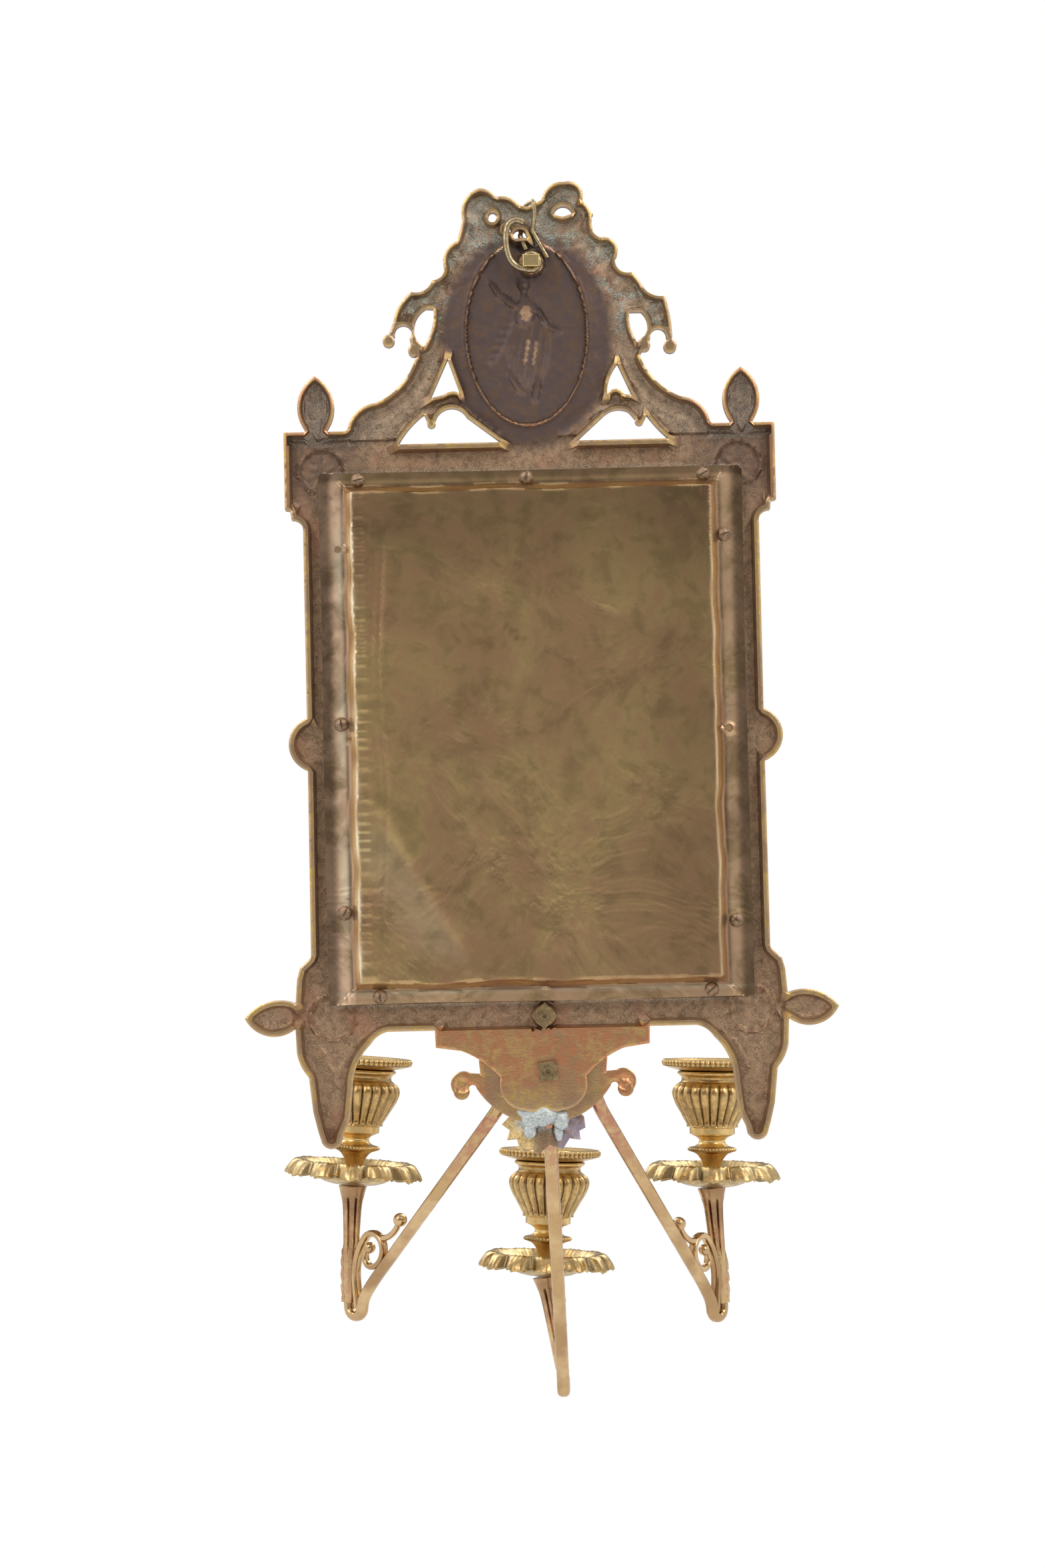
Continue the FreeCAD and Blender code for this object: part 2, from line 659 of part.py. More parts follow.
def back_plate():
    """Sheet pan: raised flat panel, sloping sides and a flange with screw holes."""
    flange_back = BACK_Y + SHEET_T
    raised = pan_block(0.0, BACK_Y, 0.0)
    inside = pan_block(SHEET_T, BACK_Y - 0.001, -SHEET_T)
    flange = box(-FLANGE_X, FLANGE_X, BACK_Y, flange_back, -FLANGE_Z, FLANGE_Z)
    pan = flange.fuse(raised).cut(inside)
    holes = [disc_y(SCREW_R + 0.25, x, z, 0, BACK_Y - 1) for x, z in SCREWS + SPARE_HOLES]
    return pan.cut(holes).removeSplitter()


def screw(x, z, head_r, shank_r, head_y, tip_y, slot_angle):
    """Slotted round-head screw pointing to -Y."""
    shank = disc_y(shank_r, x, z, head_y + 0.1, tip_y)
    head = Part.makeSphere(head_r * 1.25, V(x, head_y - head_r * 0.75, z))
    head = head.common(disc_y(head_r, x, z, head_y + 3, head_y))
    slot = box(-head_r - 1, head_r + 1, head_y + 0.8, head_y + 5, -0.4, 0.4)
    slot.rotate(V(0, 0, 0), V(0, 1, 0), slot_angle)
    slot.translate(V(x, 0, z))
    return head.fuse(shank).cut(slot)


def back_plate_screws():
    turned_to = [12, 75, 30, 100, 60, 20, 140, 95, 40]
    screws = [screw(x, z, SCREW_HEAD_R, SCREW_R, BACK_Y + SHEET_T, POCKET_Y + 0.5, angle)
              for (x, z), angle in zip(SCREWS, turned_to)]
    return Part.makeCompound(screws)


# ---------------------------------------------------------------- hanging gear
def hanger_stud():
    stud = disc_y(STUD_R - 0.02, STUD_X, STUD_Z, -1.0, BACK_Y - CREST_T + 1.7)
    collar = disc_y(STUD_COLLAR_R - 0.6, STUD_X, STUD_Z, RING_Y - RING_WIRE_R - EYE_CLEARANCE,
                    BACK_Y - 0.2)
    return stud.fuse(collar)


def hanger_nut():
    """Square block nut with softened edges."""
    w, t, h = NUT_SIZE
    front = RING_Y + RING_WIRE_R + EYE_CLEARANCE
    block = box(STUD_X - w / 2, STUD_X + w / 2, front, front + t, STUD_Z - h / 2, STUD_Z + h / 2)
    block = block.makeFillet(0.5, block.Edges)
    return block.cut(disc_y(STUD_R, STUD_X, STUD_Z, 0, front - 1))


def hanging_ring():
    """Heavy wire bent to an eye round the stud and an open C above it."""
    eye_r = STUD_R + EYE_CLEARANCE + RING_WIRE_R

    def place(u, v):
        return V(STUD_X - u, RING_Y, STUD_Z + v)

    start_angle = 150.0
    start = (eye_r * math.cos(math.radians(start_angle)), eye_r * math.sin(math.radians(start_angle)))
    path = Turtle(start[0], start[1], start_angle - 90.0)
    path.turn(eye_r, -250.0)
    path.go(3.0).turn(9.5, -60.0).turn(26.0, -33.0).turn(5.0, -100.0).go(2.0)
    route = path.wire(place)
    return pipe(route, round_profile(route, RING_WIRE_R))


def hanging_wire():
    """Old tie wire over the crest and back through its slot."""
    deep = BACK_Y - 2.4
    front = BACK_Y - CREST_T - 1.6
    points = [V(-11.4, deep, 240.8), V(-4.1, deep, 254.6), V(-5.4, BACK_Y + 1.4, 263.0),
              V(-5.0, BACK_Y + 1.6, 269.3), V(-1.0, front, 269.3), V(2.2, front, 253.0),
              V(2.2, deep, 252.6), V(-0.6, deep, 245.2)]
    route = rounded_route(points, 1.9)
    return pipe(route, round_profile(route, TIE_WIRE_R))


# ---------------------------------------------------------------- arm mount
def arm_mount(arms):
    """Cast bracket behind the arms: eared boss below, tongue up the front of the rail."""
    y = BACK_Y - APRON_T
    half = face_xz([
        (0, -160.0), (24.0, -160.0), (32.3, -162.6), (31.6, -169.6), (36.5, -169.2),
        ((44.8, -170.2), (45.2, -178.6)), ((40.8, -182.4), (37.2, -178.2)),
        ((36.8, -175.4), (33.6, -176.8)), ((28.0, -184.0), (17.6, -191.4)), (6.5, -196.0),
        (0, -196.0),
    ], y)
    mount = slab(merged(both_sides(half), y), y - MOUNT_T)
    boss = disc_y(15.0, 0, -176.0, y - MOUNT_T + 0.5, y - MOUNT_T - 9.0)
    edges = [e for e in boss.Edges if e.BoundBox.YMax < y - MOUNT_T - 8.9]
    boss = boss.makeFillet(4.5, edges)
    tongue_half = face_xz([
        (0, -168.0), (12.0, -168.0), ((15.5, -152.0), (11.0, -140.0)), ((9.0, -129.0), (0, -122.0)),
    ], TONGUE_Y)
    tongue = slab(merged(both_sides(tongue_half), TONGUE_Y), TONGUE_Y - 4.0)
    neck = box(-9.0, 9.0, TONGUE_Y - 0.5, y - MOUNT_T + 0.5, -172.0, -151.5)
    mount = joined(mount, [boss, tongue, neck])
    studs = [disc_y(MOUNT_STUD_R + 0.1, x, z, y + 1, tip) for x, z, tip in MOUNT_STUDS]
    return carved(mount, studs + arms).removeSplitter()


def mount_studs():
    studs = [disc_y(MOUNT_STUD_R, x, z, BACK_Y + 4.4, tip + 0.02) for x, z, tip in MOUNT_STUDS]
    hollows = [disc_y(1.2, x, z, BACK_Y + 5, BACK_Y + 2.6) for x, z, _ in MOUNT_STUDS]
    return Part.makeCompound([s.cut(h) for s, h in zip(studs, hollows)])


def square_nut(x, z, angle):
    half = SQUARE_NUT / 2
    nut = box(-half, half, BACK_Y, BACK_Y + SQUARE_NUT_T, -half, half)
    edges = [e for e in nut.Edges if e.BoundBox.YMin > BACK_Y + SQUARE_NUT_T - 0.01]
    nut = nut.makeChamfer(0.8, edges)
    nut.rotate(V(0, 0, 0), V(0, 1, 0), angle)
    nut.translate(V(x, 0, z))
    return nut.cut(disc_y(MOUNT_STUD_R + 0.05, x, z, 0, BACK_Y - 1))


def mount_nuts():
    return Part.makeCompound([square_nut(MOUNT_STUDS[0][0], MOUNT_STUDS[0][1], 43),
                              square_nut(MOUNT_STUDS[1][0], MOUNT_STUDS[1][1], 8)])


def root_leaf(mount, arm):
    """Vine leaf soldered over the root of the centre arm."""
    leaf = face_xz([
        (-20.0, -192.5), (-20.6, -198.0), (-17.5, -199.5), (-18.0, -204.0), (-12.5, -203.0),
        (-9.0, -208.5), (-2.5, -206.0), (4.0, -211.5), (7.5, -206.5), (12.5, -209.0),
        (14.0, -203.0), (19.0, -203.5), (17.5, -198.5), (21.5, -195.5), (16.0, -190.0),
        ((0, -184.0), (-20.0, -192.5)),
    ], BACK_Y - APRON_T - MOUNT_T)
    solid = slab(leaf, BACK_Y - APRON_T - MOUNT_T - 2.4)
    return carved(solid, [mount, arm])


# ---------------------------------------------------------------- arms
def arm_paths(spec):
    """Main bar, C-scroll and side branch in the arm's own upright plane."""
    bar = Turtle(0, 0, spec["start"])
    bar.turn(40.0, spec["slope"] - spec["start"])
    bar.go(spec["run"])
    bar.turn(120.0, -7.0)
    bar.turn(14.0, -84.0 - (spec["slope"] - 7.0))
    bar.turn(HEEL_R, 174.0)
    bar.go(2.0)
    horn_u, horn_v = bar.point()

    band = Turtle(horn_u - 7.0, horn_v - 2.5, 84.0)
    band.go(13.0).turn(30.0, 50.0).turn(8.0, 136.0).turn(9.5, 90.0).turn(5.0, 165.0)
    branch = Turtle(horn_u - 25.5, horn_v + 34.5, 180.0)
    branch.go(1.0).turn(15.0, -58.0).go(3.5)
    return bar, band, branch


def arm_place(spec):
    """Maps the arm's plane (distance out from the root, height) into space."""
    plan = math.radians(spec["plan"])
    root_z = spec["root_z"]

    def place(u, v):
        return V(spec["root_x"] + u * math.cos(plan), ARM_ROOT_Y + u * math.sin(plan), root_z + v)

    return place


def sideways(spec):
    plan = math.radians(spec["plan"])
    return V(-math.sin(plan), math.cos(plan), 0)


def candle_arm(spec):
    """One casting: bar with a heel, volute between bar and horn, and a balled branch.

    The horn is let into the heel and the volute where they touch."""
    bar, band, branch = arm_paths(spec)
    place = arm_place(spec)
    across = sideways(spec)
    bar_route = bar.wire(place)
    body = pipe(bar_route, bar_profile(bar_route, ARM_BAR_W, ARM_BAR_T, BAR_CORNER_R, across))
    band_route = band.wire(place)
    scroll = pipe(band_route,
                  bar_profile(band_route, SCROLL_W, SCROLL_T, SCROLL_CORNER_R, across))
    branch_route = branch.wire(place)
    twig = pipe(branch_route, round_profile(branch_route, TWIG_R))
    tip = ball_end(branch_route, place(*branch.point()), BRANCH_BALL_R, across)
    eye = ball_end(band_route, place(*band.point()), VOLUTE_EYE_R, across)
    return joined(body, [scroll, twig, tip, eye]).cut(horn_blank(spec)).removeSplitter()


def ball_end(route, centre, radius, across):
    """Ball at the end of a route, its seam turned square to the stem."""
    last = route.OrderedEdges[-1]
    near = last.valueAt((last.FirstParameter + last.LastParameter) / 2.0)
    return ball(centre, radius, across, across.cross(centre - near))


def unit_base(spec):
    """Foot of the horn and the seat of the drip pan at its top."""
    bar = arm_paths(spec)[0]
    foot = arm_place(spec)(*bar.point())
    lean = math.radians(spec["horn_lean"])
    top = foot + V(math.sin(lean), 0, math.cos(lean)) * spec["horn_h"]
    return foot, top


def leaned(shape, at, degrees):
    """Shape built about Z, leaned about Y and set down at a point."""
    shape.rotate(V(0, 0, 0), V(0, 1, 0), degrees)
    shape.translate(at)
    return shape


# ---------------------------------------------------------------- candle unit
def horn_blank(spec):
    """Tapering horn with a leaf clasping its outer side, standing on the heel of its arm."""
    foot = unit_base(spec)[0]
    high = spec["horn_h"]
    body = turned([
        (0, 0), (HORN_FOOT_R, 0), ((3.6, 8.0), (3.9, 18.0)), (HORN_MID_R, high - 25.0),
        ((5.0, high - 11.0), (HORN_TOP_R, high - 2.0)), (HORN_TOP_R, high + 3.0),
        (0, high + 3.0),
    ])
    leaf_skin = turned([(0, 0), (HORN_FOOT_R + 1.2, 0), ((5.0, 10.0), (5.2, 20.0)),
                        (HORN_MID_R + 1.4, 36.0), (0, 36.0)])
    leaf_shape = face_xz([
        (-3.6, 0.5), (-4.8, 6.0), (-3.4, 8.5), (-5.0, 13.0), (-3.4, 15.5), (-4.6, 20.0),
        (-2.8, 22.0), (-3.4, 27.0), ((-1.8, 31.0), (0, 34.0)), ((1.8, 31.0), (3.4, 27.0)),
        (2.8, 22.0), (4.6, 20.0), (3.4, 15.5), (5.0, 13.0), (3.4, 8.5), (4.8, 6.0), (3.6, 0.5),
    ], 0)
    leaf = leaf_skin.common(slab(leaf_shape, -12.0))
    leaf.rotate(V(0, 0, 0), V(0, 0, 1), spec["plan"] + 90.0)
    return leaned(body.fuse(leaf), foot, spec["horn_lean"])


def horn(spec):
    """Horn with its flutes sunk and its top cut to seat the drip pan."""
    foot, top = unit_base(spec)
    high = spec["horn_h"]
    slots = []
    for index in range(HORN_SLOTS):
        slot = box(HORN_MID_R - 0.9, HORN_TOP_R + 2, -0.45, 0.45, high - 35.0, high - 6.5)
        slot.rotate(V(0, 0, 0), V(0, 1, 0), 3.2)
        slot.rotate(V(0, 0, 0), V(0, 0, 1), 360.0 / HORN_SLOTS * (index + 0.5))
        slots.append(leaned(slot, foot, spec["horn_lean"]))
    above = Part.makeBox(60, 60, 30, V(-30, -30, 0))
    rod_hole = Part.makeCylinder(ROD_R + HOLE_GAP, ROD_SINK + 2.0, V(0, 0, -ROD_SINK))
    above = leaned(above.fuse(rod_hole), top, spec["cup_lean"])
    return carved(horn_blank(spec), slots + [above])


def rod():
    """Threaded rod that clamps pan, knop and cup down on the horn."""
    return Part.makeCylinder(ROD_R, ROD_SINK + BAND_Z + 9.0, V(0, 0, -ROD_SINK))


def drip_pan():
    """Leaf pan: rises from the centre, then rolls over to lobed tips."""
    t = SHEET_CAST_T
    pan = turned([
        (0, 0), (9.0, 0), ((19.0, 3.0), (27.0, 9.6)), ((31.5, 9.8), (PAN_R - 0.8, 5.2)),
        (PAN_R, 6.2), ((32.4, 11.8), (26.6, 11.6)), ((18.0, 4.9), (9.0, t + 0.5)), (0, t + 0.5),
    ])
    notches = []
    for index in range(PAN_LOBES):
        notch = Part.makeCylinder(2.3, 30, V(PAN_R + 0.2, 0, -5))
        notch = notch.fuse(box(28.5, PAN_R + 2, -0.5, 0.5, -5, 25))
        notch.rotate(V(0, 0, 0), V(0, 0, 1), 360.0 / PAN_LOBES * index)
        notches.append(notch)
    return pan.cut(notches + [Part.makeCylinder(ROD_R + HOLE_GAP, 20, V(0, 0, -5))])


def knop():
    """Turned stem with a thin disc, between drip pan and cup."""
    base = SHEET_CAST_T + 0.5
    solid = turned([
        (0, base), (7.0, base), ((5.0, 5.5), (4.7, 10.0)), ((5.4, 15.6), (9.4, 18.2)),
        (KNOP_DISC_R - 0.8, 18.6), ((KNOP_DISC_R, KNOP_DISC_Z), (KNOP_DISC_R - 0.8, 21.0)),
        (8.6, 21.4), ((7.6, 24.0), (9.8, BAND_Z)), (0, BAND_Z),
    ])
    return solid.cut(Part.makeCylinder(ROD_R + HOLE_GAP, 60, V(0, 0, -5)))


def candle_cup():
    """Vase-shaped cup, fluted below the neck and bored for the nozzle."""
    solid = turned([
        (0, BAND_Z), (BAND_R, BAND_Z), (BAND_R, 31.5), (10.6, 32.2), ((12.0, 33.4), (13.4, 34.0)),
        ((19.6, 40.0), (VASE_R, VASE_Z)), ((20.4, 54.0), (16.6, 57.4)),
        (16.6, 58.2), ((NECK_R, 59.4), (NECK_R - 0.6, CUP_TOP_Z)), (0, CUP_TOP_Z),
    ])
    grooves = []
    for index in range(CUP_FLUTES):
        groove = Part.makeTorus(17.0, 0.9, V(6.1, 0, 47.5), V(0, 1, 0))
        wedge = box(12.0, 30.0, -3.0, 3.0, 37.0, 55.0)
        groove = groove.common(wedge)
        groove.rotate(V(0, 0, 0), V(0, 0, 1), 360.0 / CUP_FLUTES * index)
        grooves.append(groove)
    bore = Part.makeCylinder(CUP_BORE_R, 40, V(0, 0, NOZZLE_FLOOR_Z - 2.5))
    hole = Part.makeCylinder(ROD_R + HOLE_GAP, 60, V(0, 0, 0))
    return carved(solid, grooves + [bore, hole])


def nozzle():
    """Lift-out socket: dished plate with a rounded rim on a tube with a floor."""
    seat = CUP_TOP_Z + SEAT_GAP
    return turned([
        (0, NOZZLE_FLOOR_Z - 1.5), (NOZZLE_TUBE_R, NOZZLE_FLOOR_Z - 1.5), (NOZZLE_TUBE_R, seat),
        (16.0, seat), (NOZZLE_RIM_R - 1.6, 64.0), ((NOZZLE_RIM_R, 65.6), (NOZZLE_RIM_R - 1.6, NOZZLE_TOP_Z)),
        (22.0, 65.8), (CANDLE_R + 0.8, 65.8), (CANDLE_R, 65.0), (CANDLE_R, NOZZLE_FLOOR_Z),
        (0, NOZZLE_FLOOR_Z),
    ])


def main():
    os.makedirs("parts", exist_ok=True)
    arms = {name: candle_arm(spec) for name, spec in ARMS.items()}
    mount = arm_mount(list(arms.values()))

    export(frame_casting(), "frame_casting")
    export(mirror_glass(), "mirror_glass")
    export(backing_board(), "backing_board")
    export(back_plate(), "back_plate")
    export(back_plate_screws(), "back_plate_screws")
    export(hanger_stud(), "hanger_stud")
    export(hanger_nut(), "hanger_nut")
    export(hanging_ring(), "hanging_ring")
    export(hanging_wire(), "hanging_wire")
    export(mount, "arm_mount")
    export(mount_studs(), "mount_studs")
    export(mount_nuts(), "mount_nuts")
    export(root_leaf(mount, arms["centre"]), "root_leaf")

    for name, spec in ARMS.items():
        foot, top = unit_base(spec)
        lean = spec["cup_lean"]
        print("%s foot (%.1f %.1f %.1f) top (%.2f %.2f %.2f)"
              % (name, foot.x, foot.y, foot.z, top.x, top.y, top.z))
        export(arms[name], "arm_" + name)
        export(horn(spec), "horn_" + name)
        export(leaned(rod(), top, lean), "rod_" + name)
        export(leaned(drip_pan(), top, lean), "drip_pan_" + name)
        export(leaned(knop(), top, lean), "knop_" + name)
        export(leaned(candle_cup(), top, lean), "cup_" + name)
        export(leaned(nozzle(), top, lean), "nozzle_" + name)


main()
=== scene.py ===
"""Looks of the three-light girandole mirror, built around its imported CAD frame.

Sizes are in millimetres in the object's own frame and become metres when a mesh is made.
Flat castings and sheets are triangulated regions of the XZ plane that carry a back and a front
height; turned and cast round pieces are skins over rings of points; arms are swept sections.
"""
import math

import bpy
import bmesh
import numpy as np
from mathutils import Matrix, Vector, noise
from mathutils.geometry import delaunay_2d_cdt


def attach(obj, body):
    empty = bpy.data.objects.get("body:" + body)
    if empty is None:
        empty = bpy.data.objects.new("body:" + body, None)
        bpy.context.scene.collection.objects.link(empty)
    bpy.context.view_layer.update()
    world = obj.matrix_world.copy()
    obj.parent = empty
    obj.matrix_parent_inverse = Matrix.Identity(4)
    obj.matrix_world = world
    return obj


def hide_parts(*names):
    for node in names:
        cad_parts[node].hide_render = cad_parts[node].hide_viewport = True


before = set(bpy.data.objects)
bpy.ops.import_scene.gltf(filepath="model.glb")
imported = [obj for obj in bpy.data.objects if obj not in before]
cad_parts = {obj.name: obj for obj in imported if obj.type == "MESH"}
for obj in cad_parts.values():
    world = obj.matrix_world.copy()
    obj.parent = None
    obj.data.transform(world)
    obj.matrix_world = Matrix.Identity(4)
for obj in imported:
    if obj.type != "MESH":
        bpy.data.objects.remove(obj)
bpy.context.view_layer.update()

MM = 0.001

# ---------------------------------------------------------------- places shared with the CAD part
BACK_Y = -8.0
WEB_Y = -17.0
APRON_T = 3.0
CREST_T = 8.0
RIM_W = 3.4
RAIL_X = 114.8
BLOCK_X = 123.7
BLOCK_TOP_Z = 155.0
RAIL_TOP_Z = 148.4
RAIL_BOTTOM_Z = -147.4
SIGHT_X = 80.5
SIGHT_Z = 114.5
LEDGE_X = 104.0
LEDGE_Z = 133.0
SIDE_BOSS = (110.2, -2.5, 14.0)
OVAL_Z = 200.0
OVAL_HALF = (43.3, 54.0)
FIELD_Z = 203.3
FIELD_HALF = (30.0, 46.0)
FLANGE = (106.8, 133.7)
PAN_FOOT = (94.0, 126.5)
PAN_TOP = (90.0, 123.0)
SHEET_T = 0.8
SCREWS = [(86.8, 130.0), (2.0, 129.6), (-87.3, 129.6), (97.5, 7.2), (97.7, -87.5),
          (-96.9, 98.8), (-98.6, -95.3), (80.9, -129.8), (-85.4, -129.6)]
SPARE_HOLES = [(97.5, 95.2), (-97.1, 1.2), (-1.7, -130.2)]
MOUNT_STUDS = [(-1.2, -141.1), (-2.5, -168.8)]
STUD = (-3.0, 238.3)
MOUNT_T = 6.0
TONGUE_Y = -27.0
ARM_ROOT_Y = -14.0
THINNEST = 0.7
THIN_T = 6.0               # metal at the side leaves and finials
REAR_PAINT_Y = -15.5       # paint for the back stays behind this depth
CREST_RIM = 1.5            # the crest's filed rim is this much narrower than RIM_W
CORNER_X = 105.0           # centres of the four sunk corner discs
CORNER_Z = (135.0, -140.0)
CORNER_R = 11.6
DISH_R = 9.6
FRONT_BLOCK = (105.3, 134.0, 17.5, 16.5)    # centre and half sizes, on the room side
PEARLS = (18.0, 3.4, 1.9)                   # distance from the sight edge, pitch, half width
TONGUES = (9.0, 6.8, 3.0)
HEEL_R = 5.0
ARMS = {
    "left": {"root_x": 19.7, "plan": -46.5, "start": -62.0, "slope": -43.0, "run": 124.0,
             "root_z": -180.0, "horn_h": 61.2, "horn_lean": -2.7, "cup_lean": -5.0},
    "centre": {"root_x": -2.5, "plan": -92.5, "start": -70.0, "slope": -53.0, "run": 151.5,
               "root_z": -189.0, "horn_h": 54.5, "horn_lean": 8.4, "cup_lean": -3.0},
    "right": {"root_x": -25.8, "plan": -124.0, "start": -63.5, "slope": -45.5, "run": 125.5,
              "root_z": -181.0, "horn_h": 61.0, "horn_lean": 3.8, "cup_lean": -2.0},
}

# ---------------------------------------------------------------- camera
CAMERA_BACK = 2000.0
CAMERA_ELEVATION = -2.0
CAMERA_ROLL = 0.0225
CAMERA_TARGET = (7.2, 0.0, -25.0)
FOCAL_PX = 6000.0
IMAGE_H = 2352.0
SENSOR = 36.0


def add_object(name, data):
    item = bpy.data.objects.new(name, data)
    bpy.context.scene.collection.objects.link(item)
    return item


def add_camera():
    """Camera behind the object, rolled as the object hangs a little crooked in the photograph."""
    tilt = math.radians(CAMERA_ELEVATION)
    forward = Vector((0, -math.cos(tilt), -math.sin(tilt)))
    level_up = Vector((0, -math.sin(tilt), math.cos(tilt)))
    level_right = Vector((-1, 0, 0))
    right = level_right * math.cos(CAMERA_ROLL) - level_up * math.sin(CAMERA_ROLL)
    up = level_up * math.cos(CAMERA_ROLL) + level_right * math.sin(CAMERA_ROLL)
    place = (Vector(CAMERA_TARGET) - forward * CAMERA_BACK) * MM
    turn = Matrix((right, up, -forward)).transposed().to_4x4()
    data = bpy.data.cameras.new("camera")
    data.sensor_width = SENSOR
    data.lens = SENSOR * FOCAL_PX / IMAGE_H
    data.clip_end = 50
    camera = add_object("camera", data)
    camera.matrix_world = Matrix.Translation(place) @ turn
    bpy.context.scene.camera = camera


# ---------------------------------------------------------------- outlines
def arc_points(start, mid, end, gap):
    """Points along the arc through three points, without its start."""
    (ax, az), (bx, bz), (cx, cz) = start, mid, end
    d = 2 * (ax * (bz - cz) + bx * (cz - az) + cx * (az - bz))
    if abs(d) < 1e-6:
        return line_points(start, end, gap)
    a2, b2, c2 = ax * ax + az * az, bx * bx + bz * bz, cx * cx + cz * cz
    ux = (a2 * (bz - cz) + b2 * (cz - az) + c2 * (az - bz)) / d
    uz = (a2 * (cx - bx) + b2 * (ax - cx) + c2 * (bx - ax)) / d
    radius = math.hypot(ax - ux, az - uz)
    first = math.atan2(az - uz, ax - ux)
    full = 2 * math.pi
    to_mid = (math.atan2(bz - uz, bx - ux) - first) % full
    to_end = (math.atan2(cz - uz, cx - ux) - first) % full
    sweep = to_end if to_mid < to_end else to_end - full
    count = max(2, int(round(abs(sweep) * radius / gap)))
    return [(ux + radius * math.cos(first + sweep * i / count),
             uz + radius * math.sin(first + sweep * i / count)) for i in range(1, count + 1)]


def line_points(start, end, gap):
    count = max(1, int(round(math.dist(start, end) / gap)))
    return [(start[0] + (end[0] - start[0]) * i / count,
             start[1] + (end[1] - start[1]) * i / count) for i in range(1, count + 1)]


def trace(steps, gap=1.2):
    """Closed polygon from line ends (x, z) and arcs ((mid), (end))."""
    here = steps[0]
    points = [here]
    for step in steps[1:]:
        if isinstance(step[0], tuple):
            points += arc_points(here, step[0], step[1], gap)
            here = step[1]
        else:
            points += line_points(here, step, gap)
            here = step
    if math.dist(here, steps[0]) > 1e-6:
        points += line_points(here, steps[0], gap)
    return np.array(points[:-1])


def flipped(polygon):
    return polygon[::-1] * np.array([-1.0, 1.0])


def both_sides(polygon):
    return [polygon, flipped(polygon)]


def disc(x, z, radius, gap=1.0):
    count = max(16, int(2 * math.pi * radius / gap))
    angles = np.linspace(0, 2 * math.pi, count, endpoint=False)
    return np.stack([x + radius * np.cos(angles), z + radius * np.sin(angles)], 1)


def oval(half_w, half_h, centre_z, gap=1.2):
    count = int(math.pi * (half_w + half_h) / gap)
    angles = np.linspace(0, 2 * math.pi, count, endpoint=False)
    return np.stack([half_w * np.cos(angles), centre_z + half_h * np.sin(angles)], 1)


def block(half_x, half_z, gap=1.5):
    return trace([(-half_x, -half_z), (half_x, -half_z), (half_x, half_z), (-half_x, half_z)], gap)


def body_outline():
    return trace([
        (0, RAIL_TOP_Z), (88.0, RAIL_TOP_Z), (91.2, BLOCK_TOP_Z), (BLOCK_X, BLOCK_TOP_Z),
        (BLOCK_X, 116.0), (121.0, 115.5), (120.5, 111.0), ((116.2, 109.2), (RAIL_X, 104.5)),
        (RAIL_X, -2.5), (RAIL_X + 0.4, -109.0), (117.0, -111.0), (120.8, -114.5),
        (122.4, -120.0), (123.4, -131.8), (123.7, -145.5), (123.2, -157.6),
        ((121.0, -164.2), (117.5, -169.4)), (115.6, -187.0), (113.2, -197.0), (112.0, -200.8),
        ((107.2, -205.4), (102.0, -202.5)), (101.2, -198.7), (97.6, -191.0), (95.8, -175.4),
        ((92.4, -161.5), (86.5, -153.8)), ((82.8, -149.8), (77.5, RAIL_BOTTOM_Z)),
        (0, RAIL_BOTTOM_Z),
    ])


def apron_outline():
    return trace([
        (0, RAIL_BOTTOM_Z + 4.0), (54.0, RAIL_BOTTOM_Z + 4.0), (53.6, -156.0), (41.0, -157.8),
        ((31.3, -162.8), (21.5, -171.7)), ((20.4, -181.5), (9.4, -188.3)),
        ((4.0, -188.8), (0, -186.5)),
    ])


def side_leaf_outline():
    return trace([
        (121.0, -133.5), (124.5, -131.8), ((136.0, -131.0), (149.0, -139.3)),
        ((136.0, -148.6), (124.5, -145.6)), (121.0, -144.0),
    ])


def finial_outline():
    return trace([
        (101.6, 150.0), (101.6, 156.0), ((98.0, 167.0), (107.4, 183.2)),
        ((116.5, 167.0), (112.9, 156.0)), (112.9, 150.0),
    ])


def brace_outline():
    return trace([
        (94.0, 147.3), (94.0, 154.5), (91.4, 155.8), ((87.3, 164.0), (77.3, 168.9)),
        ((65.6, 176.4), (56.6, 190.6)), (46.0, 204.0), (40.0, 204.0), (14.0, 172.0),
        (10.0, 147.3),
    ])


def garlands():
    left = trace([
        (20.0, 262.0), (30.5, 264.0), ((30.2, 257.2), (33.1, 250.3)),
        ((36.9, 248.7), (39.7, 245.6)),
        ((41.3, 240.5), (40.8, 236.0)), ((43.2, 231.8), (47.1, 230.5)),
        ((51.0, 225.7), (57.8, 224.8)), ((63.5, 219.0), (67.1, 209.6)), (69.2, 204.2),
        (69.8, 200.4), (66.5, 202.8), ((62.8, 208.3), (59.1, 201.0)), (58.4, 198.0), (55.0, 191.6),
        (46.0, 186.0), (38.0, 196.0), (16.0, 236.0),
    ])
    right = trace([
        (20.0, 262.0), (34.9, 262.5), ((33.5, 256.0), (38.6, 250.2)),
        ((45.2, 248.2), (45.4, 239.5)),
        ((47.3, 234.0), (53.8, 232.5)), ((56.7, 229.0), (59.3, 224.7)),
        ((63.9, 220.9), (70.1, 220.0)),
        ((72.3, 211.0), (73.4, 199.0)), (72.2, 194.6), (70.3, 199.5),
        ((67.5, 203.6), (62.3, 198.8)),
        (61.0, 196.0), (57.0, 191.0), (46.0, 186.0), (38.0, 196.0), (16.0, 236.0),
    ])
    return [left, flipped(right)]


TAIL_ENDS = [(69.8, 200.4, 3.0), (57.0, 195.2, 3.0), (-72.2, 194.6, 3.3), (-59.3, 195.3, 2.9)]


